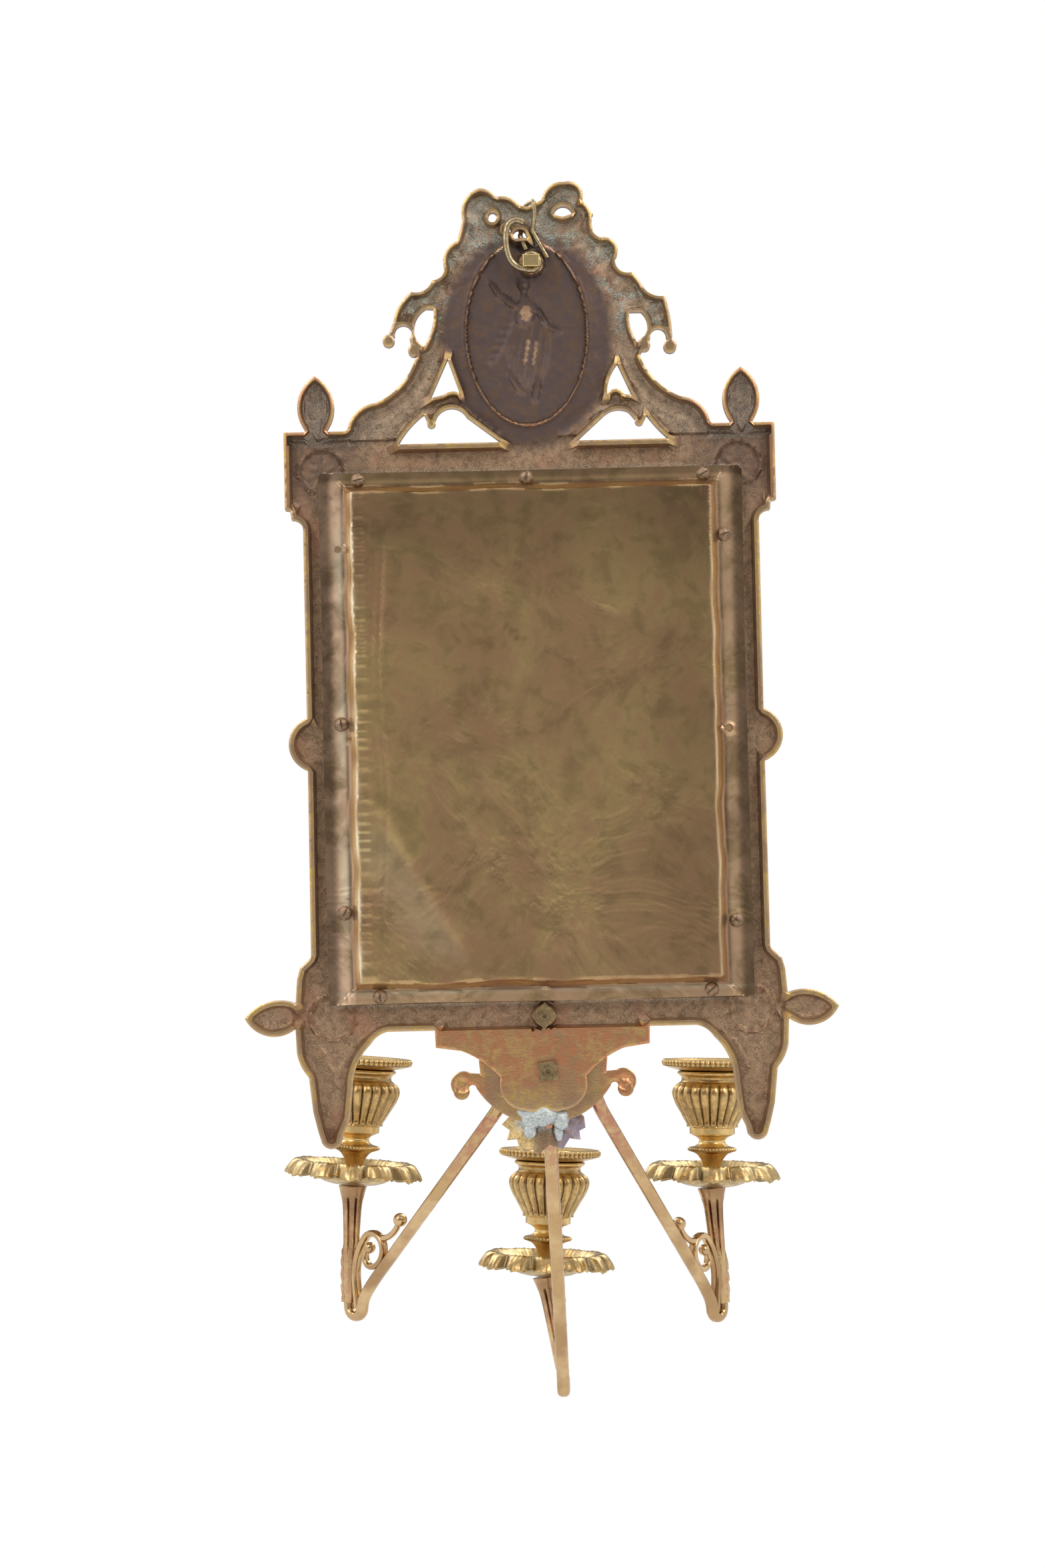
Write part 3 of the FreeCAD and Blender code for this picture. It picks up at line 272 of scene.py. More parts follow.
def crest_openings():
    left = [
        [(66.0, 147.8), ((59.4, 156.9), (52.7, 162.8)), (51.0, 159.0),
         ((48.8, 156.0), (47.2, 159.0)),
         ((41.8, 165.2), (31.2, 161.0)), (14.0, 147.8)],
        [(40.2, 190.6), (34.3, 173.1), ((38.4, 173.9), (42.6, 172.3)), (49.3, 170.7)],
        [(46.7, 216.2), ((47.6, 206.6), (52.1, 196.9)), (55.6, 200.4),
         ((55.9, 210.5), (50.7, 216.4))],
    ]
    right = [
        [(24.0, 147.8), (38.2, 160.5), ((45.0, 163.2), (50.5, 161.9)), (53.8, 158.0),
         ((55.4, 155.0), (57.9, 156.7)), (59.6, 160.0), ((64.3, 154.0), (70.6, 147.8))],
        [(45.4, 186.4), ((41.2, 179.0), (39.9, 170.8)), ((44.8, 173.4), (48.4, 170.6)),
         (52.5, 170.2)],
        [(52.0, 212.5), ((52.4, 204.6), (55.6, 196.9)), (59.2, 199.8),
         ((61.0, 206.8), (57.8, 212.5))],
    ]
    return [trace(steps, 1.0) for steps in left] + [flipped(trace(steps, 1.0)) for steps in right]


def bow_outlines():
    right = trace([
        (-3.0, 236.0), (34.0, 250.0), (31.0, 261.0), ((29.8, 271.0), (22.4, 276.6)),
        ((17.0, 275.0), (14.0, 272.0)), ((7.0, 271.4), (2.3, 267.5)), (-3.0, 266.4),
    ])
    left = trace([
        (-2.0, 236.0), (-2.0, 266.6), (-9.0, 270.0), ((-13.5, 277.2), (-20.6, 278.9)),
        ((-27.6, 277.2), (-29.4, 269.0)), ((-33.2, 264.6), (-34.0, 258.0)), (-35.0, 250.0),
    ])
    return [right, left]


def bow_eyes():
    return [
        trace([(14.0, 261.6), ((15.8, 264.6), (18.0, 262.4)), ((16.2, 259.2), (14.0, 261.6))], 0.7),
        trace([(-15.0, 262.4), ((-19.8, 267.0), (-24.4, 262.6)), (-19.5, 261.2)], 0.7),
        trace([(6.8, 254.0), (7.2, 256.6), ((9.4, 257.4), (10.9, 255.6)), (10.4, 253.8)], 0.7),
        trace([(-1.6, 251.0), (-0.4, 254.0), ((3.4, 255.4), (6.0, 253.2)), (5.0, 250.6)], 0.7),
    ]


# ---------------------------------------------------------------- regions of the XZ plane
def inside(polygon, points):
    """Even-odd test of many points against one polygon."""
    hit = np.zeros(len(points), bool)
    x, z = points[:, 0], points[:, 1]
    near = (x > polygon[:, 0].min()) & (x < polygon[:, 0].max())
    near &= (z > polygon[:, 1].min()) & (z < polygon[:, 1].max())
    xs, zs = x[near], z[near]
    odd = np.zeros(len(xs), bool)
    for (ax, az), (bx, bz) in zip(polygon, np.roll(polygon, -1, 0)):
        if az == bz:
            continue
        crosses = (az > zs) != (bz > zs)
        odd ^= crosses & (xs < (bx - ax) * (zs - az) / (bz - az) + ax)
    hit[near] = odd
    return hit


def within(solids, openings, points):
    hit = np.zeros(len(points), bool)
    for polygon in solids:
        hit |= inside(polygon, points)
    for polygon in openings:
        hit &= ~inside(polygon, points)
    return hit


def edge_distance(points, starts, ends):
    """Distance from each point to the nearest of many short segments."""
    best = np.full(len(points), 1e9)
    along = ends - starts
    length2 = np.maximum((along ** 2).sum(1), 1e-12)
    for first in range(0, len(points), 1500):
        chunk = points[first:first + 1500, None, :] - starts[None]
        share = np.clip((chunk * along[None]).sum(2) / length2, 0, 1)
        gap = chunk - share[..., None] * along[None]
        best[first:first + 1500] = np.sqrt((gap ** 2).sum(2).min(1))
    return best


class Region:
    """Triangles over a union of polygons less some openings, with rings of points on its edges."""

    def __init__(self, solids, openings, rings, grid, fine=()):
        polygons = list(solids) + list(openings)
        points, edges = [], []
        for polygon in polygons:
            base = len(points)
            points += [Vector(p) for p in polygon]
            edges += [(base + i, base + (i + 1) % len(polygon)) for i in range(len(polygon))]
        flat, triangles = self.triangles(points, edges, solids, openings)
        self.starts, self.ends = self.outer_edges(flat, triangles)
        inner = self.ring_points(rings)
        lattice = self.lattice(flat, grid, fine)
        far = edge_distance(lattice, self.starts,
                            self.ends) > (rings[-1] if rings else 0) + 0.6 * grid
        lattice = lattice[far & within(solids, openings, lattice)]
        corners, index = np.unique(np.round(np.concatenate([self.starts, self.ends]), 5), axis=0,
                                   return_inverse=True)
        index = index.reshape(-1)
        count = len(self.starts)
        edges = [(int(index[i]), int(index[i + count])) for i in range(count)]
        points = [Vector(p) for p in np.concatenate([corners, inner, lattice])]
        self.flat, self.faces = self.triangles(points, edges, solids, openings)
        self.starts, self.ends = self.outer_edges(self.flat, self.faces)
        self.distance = edge_distance(self.flat, self.starts, self.ends)

    @staticmethod
    def triangles(points, edges, solids, openings):
        done = delaunay_2d_cdt(points, edges, [], 0, 1e-4, False)
        flat = np.array([tuple(p) for p in done[0]])
        faces = np.array([f for f in done[2] if len(f) == 3])
        middle = flat[faces].mean(1)
        keep = within(solids, openings, middle)
        return flat, faces[keep]

    def outer_edges(self, flat, faces):
        """Directed edges with the region on their left."""
        sides = np.concatenate([faces[:, [0, 1]], faces[:, [1, 2]], faces[:, [2, 0]]])
        key = np.sort(sides, 1)
        key = key[:, 0].astype(np.int64) * (len(flat) + 1) + key[:, 1]
        _, first, counts = np.unique(key, return_index=True, return_counts=True)
        rim = sides[first[counts == 1]]
        self.rim = rim
        return flat[rim[:, 0]], flat[rim[:, 1]]

    def ring_points(self, rings):
        along = self.ends - self.starts
        length = np.sqrt((along ** 2).sum(1))
        normal = np.stack([-along[:, 1], along[:, 0]], 1) / length[:, None]
        middle = (self.starts + self.ends) / 2
        found = []
        for ring in rings:
            put = middle + normal * ring
            keep = edge_distance(put, self.starts, self.ends) > ring * 0.985 - 0.01
            found.append(put[keep])
        return np.concatenate(found) if found else np.zeros((0, 2))

    @staticmethod
    def lattice(flat, grid, fine):
        """Staggered rows of points, closer together inside the fine windows."""
        low, high = flat.min(0), flat.max(0)
        sets = []
        windows = [(low[0], high[0], low[1], high[1], grid)] + list(fine)
        for x0, x1, z0, z1, gap in windows:
            xs = np.arange(x0, x1, gap)
            zs = np.arange(z0, z1, gap * 0.87)
            gx, gz = np.meshgrid(xs, zs)
            gx = gx + (np.arange(len(zs)) % 2)[:, None] * gap * 0.5
            points = np.stack([gx.ravel(), gz.ravel()], 1)
            if gap == grid:
                px, pz = points.T
                for a, b, c, d, _ in fine:
                    hit = (px > a) & (px < b) & (pz > c) & (pz < d)
                    points, px, pz = points[~hit], px[~hit], pz[~hit]
            sets.append(points)
        return np.concatenate(sets)

    def edge(self, width):
        """1 on the region's edge, falling to 0 over a width."""
        return np.clip(1 - self.distance / width, 0, 1) ** 2

    def solid(self, name, back, front):
        """Closed mesh between the back heights and the front heights of the region's points."""
        count = len(self.flat)
        x, z = self.flat[:, 0], self.flat[:, 1]
        points = np.concatenate([np.stack([x, back, z], 1), np.stack([x, front, z], 1)])
        faces = [tuple(f[::-1]) for f in self.faces] + [tuple(f + count) for f in self.faces]
        faces += [(b, a, a + count, b + count) for a, b in self.rim]
        return make_mesh(name, points, faces)


def most(*fields):
    """Highest of several fields, point by point."""
    high = fields[0]
    for field in fields[1:]:
        high = np.maximum(high, field)
    return high


def ease(low, high, value):
    """0 at low, 1 at high, with soft ends."""
    share = np.clip((value - low) / (high - low), 0, 1)
    return share * share * (3 - 2 * share)


def bell(value, width):
    """1 at zero, falling off over a width."""
    return np.exp(-(value / width) ** 2)


def rough_field(x, z, scale, seed, octaves=3):
    """Gentle noise over flat points, about -1 to 1."""
    return np.array([noise.fractal((a * scale, b * scale, seed), 0.9, 2.0, octaves,
                                   noise_basis="PERLIN_ORIGINAL") for a, b in zip(x, z)])


# ---------------------------------------------------------------- meshes
def make_mesh(name, points, faces, sharp=38.0):
    """Object with smooth shading that breaks at sharp edges; points are in millimetres."""
    mesh = bpy.data.meshes.new(name)
    mesh.from_pydata([tuple(p) for p in np.asarray(points, float) * MM], [],
                     [tuple(int(i) for i in f) for f in faces])
    build = bmesh.new()
    build.from_mesh(mesh)
    bmesh.ops.remove_doubles(build, verts=build.verts, dist=2e-6)
    bmesh.ops.recalc_face_normals(build, faces=build.faces)
    build.to_mesh(mesh)
    build.free()
    mesh.polygons.foreach_set("use_smooth", [True] * len(mesh.polygons))
    mesh.set_sharp_from_angle(angle=math.radians(sharp))
    return add_object(name, mesh)


def paint(piece, *shares):
    """Stores three shares per vertex, each a number or worked out from x, y, z in millimetres."""
    mesh = piece.data
    points = np.zeros(len(mesh.vertices) * 3)
    mesh.vertices.foreach_get("co", points)
    points = points.reshape(-1, 3) / MM
    layer = mesh.color_attributes.new(name="patina", type="FLOAT_COLOR", domain="POINT")
    values = np.ones((len(points), 4))
    for channel, share in enumerate(shares):
        values[:, channel] = np.clip(share(*points.T) if callable(share) else share, 0, 1)
    layer.data.foreach_set("color", values.ravel())


def skin(rings, closed_ends=True):
    """Points and faces over rings of equal length; the rings close round."""
    rings = np.asarray(rings)
    rows, count = rings.shape[0], rings.shape[1]
    points = rings.reshape(-1, 3)
    faces = []
    for row in range(rows - 1):
        a, b = row * count, (row + 1) * count
        faces += [(a + i, a + (i + 1) % count, b + (i + 1) % count, b + i) for i in range(count)]
    if closed_ends:
        faces.append(tuple(range(count))[::-1])
        faces.append(tuple((rows - 1) * count + i for i in range(count)))
    return points, faces


def merge_parts(parts):
    """One (points, faces) pair from several."""
    points, faces, base = [], [], 0
    for part_points, part_faces in parts:
        points.append(np.asarray(part_points, float))
        faces += [tuple(i + base for i in f) for f in part_faces]
        base += len(part_points)
    return np.concatenate(points), faces


def joined(name, parts, sharp=38.0):
    return make_mesh(name, *merge_parts(parts), sharp)


def lathe(profile, count, shape=None):
    """Rings of a turned piece about Z; shape(radius, height, angle) may move its points."""
    angles = np.linspace(0, 2 * math.pi, count, endpoint=False)
    rings = []
    for radius, height in profile:
        r = np.full(count, float(radius))
        h = np.full(count, float(height))
        if shape:
            r, h = shape(r, h, angles)
        rings.append(np.stack([r * np.cos(angles), r * np.sin(angles), h], 1))
    return np.array(rings)


def smooth_profile(points, steps=6):
    """Rounded line through (r, h) points by a centripetal spline."""
    points = [np.array(p, float) for p in points]
    ends = [2 * points[0] - points[1]] + points + [2 * points[-1] - points[-2]]
    out = [points[0]]
    for p0, p1, p2, p3 in zip(ends, ends[1:], ends[2:], ends[3:]):
        for i in range(1, steps + 1):
            t = i / steps
            out.append(0.5 * (2 * p1 + (p2 - p0) * t + (2 * p0 - 5 * p1 + 4 * p2 - p3) * t * t
                              + (3 * p1 - p0 - 3 * p2 + p3) * t ** 3))
    return [tuple(p) for p in out]


def sphere(centre, radius, rings=8, count=12, squash=(1, 1, 1)):
    rows = []
    for i in range(rings + 1):
        polar = math.pi * i / rings
        angles = np.linspace(0, 2 * math.pi, count, endpoint=False)
        rows.append(np.stack([centre[0] + radius * squash[0] * math.sin(polar) * np.cos(angles),
                              centre[1] + radius * squash[1] * math.sin(polar) * np.sin(angles),
                              np.full(count, centre[2] + radius * squash[2] * math.cos(polar))], 1))
    return skin(rows, closed_ends=False)


def bead_ring(radius, height, bead, count, lean=1.0):
    """Row of small beads round a turned edge."""
    parts = []
    for i in range(count):
        angle = 2 * math.pi * i / count
        centre = (radius * math.cos(angle), radius * math.sin(angle), height)
        parts.append(sphere(centre, bead, 6, 8, (1, 1, lean)))
    return parts


def placed(points, at, lean):
    """Points built about Z, leaned about Y and set down at a place."""
    turn = math.radians(lean)
    points = np.asarray(points, float)
    x = points[:, 0] * math.cos(turn) + points[:, 2] * math.sin(turn)
    z = points[:, 2] * math.cos(turn) - points[:, 0] * math.sin(turn)
    return np.stack([x + at[0], points[:, 1] + at[1], z + at[2]], 1)


def sweep(path, widths, thicks, across, power=2.6, count=20):
    """Rounded bar along a path; across is the direction of its width."""
    path = np.asarray(path, float)
    across = np.asarray(across, float)
    along = np.gradient(path, axis=0)
    along /= np.linalg.norm(along, axis=1)[:, None]
    angles = np.linspace(0, 2 * math.pi, count, endpoint=False)
    cosine, sine = np.cos(angles), np.sin(angles)
    u = np.sign(cosine) * np.abs(cosine) ** (2 / power)
    v = np.sign(sine) * np.abs(sine) ** (2 / power)
    rings = []
    for point, direction, width, thick in zip(path, along, widths, thicks):
        other = np.cross(direction, across)
        other /= np.linalg.norm(other)
        rings.append(point + np.outer(u * width / 2, across) + np.outer(v * thick / 2, other))
    return skin(rings)


# ---------------------------------------------------------------- node materials
class Tree:
    """Short calls that build a node tree."""

    def __init__(self, tree):
        self.tree = tree
        tree.nodes.clear()

    def add(self, kind, **values):
        node = self.tree.nodes.new(kind)
        for key, value in values.items():
            setattr(node, key, value)
        return node

    def link(self, source, target):
        self.tree.links.new(source, target)

    def put(self, socket, value):
        """Sets a number or colour on the socket itself, and links anything else."""
        if isinstance(value, tuple):
            socket.default_value = value + (1.0,)
        elif isinstance(value, (int, float)):
            socket.default_value = value
        else:
            self.link(value, socket)

    def ramp(self, source, low, high, a=0.0, b=1.0):
        node = self.add("ShaderNodeMapRange", interpolation_type="SMOOTHSTEP")
        for socket, value in zip(("Value", "From Min", "From Max", "To Min", "To Max"),
                                 (source, low, high, a, b)):
            self.put(node.inputs[socket], value)
        return node.outputs["Result"]

    def math(self, operation, *values):
        node = self.add("ShaderNodeMath", operation=operation)
        for socket, value in zip(node.inputs, values):
            self.put(socket, value)
        return node.outputs[0]

    def between(self, share, first, second):
        """Mix of two shader nodes."""
        node = self.add("ShaderNodeMixShader")
        for socket, source in zip(node.inputs, (share, first.outputs[0], second.outputs[0])):
            self.link(source, socket)
        return node


class Nodes(Tree):
    """Material with one principled shader, in the object's own coordinates."""

    def __init__(self, name):
        self.material = bpy.data.materials.new(name)
        self.material.use_nodes = True
        super().__init__(self.material.node_tree)
        self.out = self.add("ShaderNodeOutputMaterial")
        self.shader = self.add("ShaderNodeBsdfPrincipled")
        self.link(self.shader.outputs[0], self.out.inputs[0])
        self.coords = self.add("ShaderNodeTexCoord").outputs["Object"]

    def noise(self, scale, detail=4.0, rough=0.55, distort=0.0, stretch=(1, 1, 1), turn=(0, 0, 0)):
        """Noise whose features are about 1/scale millimetres wide."""
        mapped = self.add("ShaderNodeMapping")
        mapped.inputs["Scale"].default_value = [s / MM for s in stretch]
        mapped.inputs["Rotation"].default_value = turn
        self.link(self.coords, mapped.inputs["Vector"])
        node = self.add("ShaderNodeTexNoise")
        for socket, value in zip(("Vector", "Scale", "Detail", "Roughness", "Distortion"),
                                 (mapped.outputs[0], scale, detail, rough, distort)):
            self.put(node.inputs[socket], value)
        return node.outputs["Fac"]

    def mix(self, share, a, b):
        node = self.add("ShaderNodeMix", data_type="RGBA")
        for index, value in ((0, share), (6, a), (7, b)):
            self.put(node.inputs[index], value)
        return node.outputs[2]

    def coats(self, colour, *coats):
        """Lays tints on a colour, each where its field is high and a painted share lets it."""
        for tint, field, low, high, *rest in coats:
            full, where, least = rest + [1.0, None, 0.0][len(rest):]
            share = self.ramp(field, low, high, least, full)
            if where is not None:
                share = self.math("MULTIPLY", where, share)
            colour = self.mix(share, colour, tint)
        return colour

    def channels(self):
        """The three painted shares."""
        source = self.add("ShaderNodeAttribute", attribute_name="patina")
        split = self.add("ShaderNodeSeparateColor")
        self.link(source.outputs["Color"], split.inputs[0])
        return split.outputs[0], split.outputs[1], split.outputs[2]

    def bump(self, *heights):
        """Bumps from (source, distance in mm) pairs, one on another."""
        last = None
        for source, distance in heights:
            node = self.add("ShaderNodeBump")
            node.inputs["Strength"].default_value = 1.0
            node.inputs["Distance"].default_value = distance * MM
            self.link(source, node.inputs["Height"])
            if last:
                self.link(last, node.inputs["Normal"])
            last = node.outputs[0]
        self.link(last, self.shader.inputs["Normal"])

    def finish(self, colour, rough, metallic=1.0):
        for key, value in (("Base Color", colour), ("Roughness", rough), ("Metallic", metallic)):
            self.put(self.shader.inputs[key], value)
        return self.material


GOLD = (0.66, 0.44, 0.15)
FILED = (0.56, 0.38, 0.21)
OLD_GOLD = (0.56, 0.38, 0.20)
BROWN = (0.40, 0.26, 0.165)
UMBER = (0.22, 0.14, 0.09)
RED_PATINA = (0.50, 0.22, 0.13)
PURPLE = (0.115, 0.078, 0.07)
DEEP_BROWN = (0.15, 0.09, 0.055)
SLATE = (0.27, 0.28, 0.30)
VERDIGRIS = (0.36, 0.43, 0.38)
COPPER = (0.60, 0.27, 0.13)
RUBBED = (0.66, 0.47, 0.25)
RUBBED_DARK = (0.56, 0.38, 0.18)
RED_BROWN = (0.50, 0.24, 0.15)
TAN = (0.50, 0.29, 0.13)
CHESTNUT = (0.30, 0.17, 0.09)
GILT = (0.74, 0.49, 0.20)
GILT_DARK = (0.58, 0.37, 0.14)
GILT_BROWN = (0.38, 0.23, 0.08)
GILT_BRIGHT = (0.86, 0.63, 0.27)
HOLLOW_SHADE = (0.14, 0.085, 0.04)
TARNISH = (0.33, 0.29, 0.17)
SHEET_BROWN = (0.45, 0.28, 0.14)
SHEET_OLIVE = (0.54, 0.37, 0.165)
SHEET_CLOUD = (0.36, 0.205, 0.11)
SHEET_PALE = (0.58, 0.43, 0.22)
SHEET_COPPER_LIT = (0.86, 0.58, 0.38)
SHEET_HIGHLIGHT = (1.0, 0.84, 0.58)
STAIN_AND_SHADE = (0.10, 0.058, 0.035)
LEAF_DARK, LEAF_BROWN = (0.22, 0.14, 0.09), (0.38, 0.25, 0.14)
LEAF_GILT, LEAF_VIOLET = (0.82, 0.60, 0.28), (0.36, 0.30, 0.35)
SOLDER_DARK, SOLDER_PALE = (0.40, 0.43, 0.43), (0.72, 0.75, 0.72)
WOOD_DARK, WOOD_PALE, WOOD_PORE = (0.36, 0.23, 0.12), (0.52, 0.36, 0.20), (0.24, 0.14, 0.07)
SILVER, FOXING = (0.86, 0.88, 0.88), (0.42, 0.36, 0.28)


def cast_brass():
    """Filed rims over a dark cast ground: red = bright (filed rims, and painted highlights on the
    corner rings), green = violet patina, blue = verdigris.
    """
    n = Nodes("cast_brass")
    bright, violet, green = n.channels()
    broad = n.noise(0.05, 3.0)
    blotch = n.noise(0.22, 5.0, 0.6, 0.6)
    grain = n.noise(1.6, 5.0, 0.65)
    ground = n.coats(UMBER, (BROWN, blotch, 0.35, 0.66), (OLD_GOLD, grain, 0.46, 0.68, 0.85),
                     (RED_PATINA, broad, 0.52, 0.72, 0.35))
    shadowed = n.coats(PURPLE, (DEEP_BROWN, blotch, 0.42, 0.66, 0.8),
                       (SLATE, grain, 0.60, 0.75, 0.3))
    ground = n.coats(n.mix(violet, ground, shadowed), (VERDIGRIS, grain, 0.45, 0.58, 1.0, green))
    filed = n.coats(GOLD, (FILED, blotch, 0.34, 0.60), (BROWN, broad, 0.46, 0.62, 0.7),
                    (BROWN, grain, 0.52, 0.66, 0.6),
                    (COPPER, blotch, 0.40, 0.60, 1.0, violet, 0.25))
    edge = n.math("ADD", bright, n.math("MULTIPLY", n.math("SUBTRACT", grain, 0.5), 0.5))
    share = n.ramp(edge, 0.30, 0.62)
    files = n.noise(0.9, 2.0, stretch=(0.35, 1, 2.2), turn=(0, 0.5, 0))
    n.bump((grain, 0.12), (blotch, 0.20), (files, 0.06))
    rough = n.ramp(share, 0.0, 1.0, 0.55, 0.30)
    return n.finish(n.mix(share, ground, filed), rough, n.ramp(share, 0.0, 1.0, 0.75, 1.0))


def polished_brass():
    """Rubbed arms in gold: red = reddish patina, green = brown, blue = dark in the flutes."""
    n = Nodes("polished_brass")
    red, brown, shade = n.channels()
    broad = n.noise(0.045, 3.0)
    blotch = n.noise(0.16, 4.0, 0.6, 0.4)
    grain = n.noise(1.3, 4.0, 0.6)
    colour = n.coats(RUBBED, (RUBBED_DARK, broad, 0.35, 0.65),
                     (RED_BROWN, blotch, 0.36, 0.58, 1.0, red),
                     (TAN, blotch, 0.60, 0.78, 0.45), (CHESTNUT, broad, 0.35, 0.6, 1.0, brown),
                     (UMBER, grain, 0.3, 0.6, 1.0, shade))
    n.bump((blotch, 0.10))
    return n.finish(colour, n.ramp(blotch, 0.3, 0.7, 0.16, 0.32))


def gilt_brass():
    """Cast and turned gilt pieces: red = painted shade in hollows, green = tarnish, blue = rubbed
    bright.
    """
    n = Nodes("gilt_brass")
    hollow, tarnish, bright = n.channels()
    blotch = n.noise(0.30, 4.0, 0.6, 0.5)
    grain = n.noise(2.0, 4.0, 0.6)
    colour = n.coats(GILT, (GILT_DARK, blotch, 0.36, 0.66), (GILT_BROWN, grain, 0.55, 0.75, 0.5),
                     # the hollow share darkens the gilt with painted shade in dips, folds and bead
                     # rows
                     (HOLLOW_SHADE, grain, 0.22, 0.55, 1.0, hollow),
                     (TARNISH, blotch, 0.35, 0.6, 1.0, tarnish))
    colour = n.mix(bright, colour, GILT_BRIGHT)
    n.bump((grain, 0.06), (blotch, 0.10))
    return n.finish(colour, n.ramp(blotch, 0.3, 0.7, 0.24, 0.42))


def sheet_brass():
    """Old rolled sheet: red = coppery flanges painted lighter on the lit side, green = painted
    highlights, blue = stains and painted shade.
    """
    n = Nodes("sheet_brass")
    lit_copper, bright, dark = n.channels()
    broad = n.noise(0.018, 4.0, 0.6, 0.8)
    cloud = n.noise(0.07, 5.0, 0.62, 0.4)
    grain = n.noise(0.9, 5.0, 0.7)
    wipe = n.noise(0.5, 3.0, stretch=(1.2, 1, 0.06), turn=(0, 0.12, 0))
    colour = n.coats(SHEET_BROWN, (SHEET_OLIVE, broad, 0.38, 0.62),
                     (SHEET_CLOUD, cloud, 0.46, 0.68, 0.75),
                     (SHEET_PALE, grain, 0.58, 0.74, 0.35),
                     (SHEET_COPPER_LIT, cloud, 0.34, 0.58, 1.0, lit_copper, 0.25))
    # painted highlights and painted shade, with one real stain, laid over the sheet colour
    colour = n.mix(dark, n.mix(bright, colour, SHEET_HIGHLIGHT), STAIN_AND_SHADE)
    n.bump((broad, 1.6), (grain, 0.03), (wipe, 0.05))
    return n.finish(colour, n.ramp(cloud, 0.3, 0.7, 0.24, 0.42), 0.95)


def plain_metal(name, light, dark, low, high, scale=0.8, depth=0.05):
    """Two tones of one metal, with its lowest and highest roughness."""
    n = Nodes(name)
    blotch = n.noise(scale, 5.0, 0.6, 0.3)
    n.bump((n.noise(scale * 4, 4.0, 0.6), depth))
    return n.finish(n.coats(light, (dark, blotch, 0.36, 0.64)), n.ramp(blotch, 0.3, 0.7, low, high))


def leaf_metal():
    """Leaf and solder at the middle root: red = gilt, green = violet, blue = grey solder."""
    n = Nodes("leaf_metal")
    gilt, violet, grey = n.channels()
    grain = n.noise(1.2, 5.0, 0.65)
    blotch = n.noise(0.35, 4.0, 0.6)
    solder = n.coats(SOLDER_DARK, (SOLDER_PALE, grain, 0.35, 0.62))
    colour = n.coats(LEAF_DARK, (LEAF_BROWN, grain, 0.35, 0.65),
                     (LEAF_GILT, grain, 0.30, 0.55, 1.0, gilt),
                     (LEAF_VIOLET, blotch, 0.30, 0.55, 1.0, violet),
                     (solder, blotch, 0.22, 0.42, 1.0, grey))
    n.bump((grain, 0.20), (blotch, 0.30))
    return n.finish(colour, n.ramp(grain, 0.3, 0.7, 0.40, 0.60), 0.85)


def wood_board():
    """Plain softwood, with its grain upright."""
    n = Nodes("board_wood")
    ring = n.noise(0.10, 4.0, 0.6, 0.5, stretch=(3.0, 1, 0.12))
    pore = n.noise(1.5, 3.0, stretch=(2.0, 1, 0.05))
    n.bump((pore, 0.10))
    return n.finish(n.coats(WOOD_DARK, (WOOD_PALE, ring, 0.35, 0.65),
                            (WOOD_PORE, pore, 0.55, 0.7, 0.5)), 0.7, 0.0)


def mirror_plate():
    """Silvered plate with a few cloudy specks."""
    n = Nodes("mirror_silver")
    cloud = n.noise(0.06, 5.0, 0.7, 0.6)
    speck = n.noise(0.9, 3.0, 0.7)
    spots = n.math("MULTIPLY", n.ramp(cloud, 0.56, 0.70), n.ramp(speck, 0.60, 0.68))
    return n.finish(n.mix(spots, SILVER, FOXING), n.ramp(spots, 0.0, 1.0, 0.03, 0.35))


# ---------------------------------------------------------------- finishing
def finish_piece(piece, material, body, slot, *nodes):
    piece.data.materials.append(material)
    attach(piece, body)
    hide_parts(*nodes)


def dress(node, material):
    """Gives a carried-over CAD piece its material."""
    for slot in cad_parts[node].material_slots:
        slot.material = material


def stand(label, at, lean, parts, shares, material, body="mirror", slot="gilt_brass", sharp=50.0):
    """Sets a piece that was built about Z down on its foot, paints it and hands it over."""
    points, faces = merge_parts(parts)
    piece = make_mesh(label + "_skin", placed(points, at, lean), faces, sharp)
    paint(piece, *shares)
    finish_piece(piece, material, body, slot, label)


def unleaned(at, lean):
    """Turns points of a piece that stands leaning back to the frame it was built in."""
    cosine, sine = math.cos(math.radians(lean)), math.sin(math.radians(lean))

    def local(x, y, z):
        x, y, z = x - at[0], y - at[1], z - at[2]
        return x * cosine - z * sine, y, z * cosine + x * sine

    return local


# ---------------------------------------------------------------- frame casting
def bump_at(x, z, cx, cz, rx, rz, turn=0.0):
    """Smooth mound of height one over an ellipse."""
    c, s = math.cos(math.radians(turn)), math.sin(math.radians(turn))
    u = ((x - cx) * c + (z - cz) * s) / rx
    v = (-(x - cx) * s + (z - cz) * c) / rz
    return np.clip(1 - u * u - v * v, 0, None) ** 0.6


def oval_share(x, z, centre_z, half_w, half_h):
    """0 at the centre of an oval, 1 on its edge."""
    return np.sqrt((x / half_w) ** 2 + ((z - centre_z) / half_h) ** 2)


FIGURE = [  # centre x and z, half width and height, turn, relief
    (1.0, 228.5, 3.6, 4.4, 0, 1.9), (1.2, 222.5, 1.7, 3.0, 0, 1.4), (0.6, 213.5, 5.4, 8.6, 4, 2.1),
    (8.0, 219.0, 2.0, 8.4, -52, 1.5), (15.5, 226.0, 1.7, 6.4, -30, 1.3),
    (-7.0, 213.0, 1.9, 8.2, -38, 1.5),
    (-13.5, 205.5, 1.7, 5.6, -62, 1.2), (-4.5, 175.5, 2.2, 8.4, 10, 1.4),
    (5.8, 178.0, 2.1, 7.8, -32, 1.3),
]


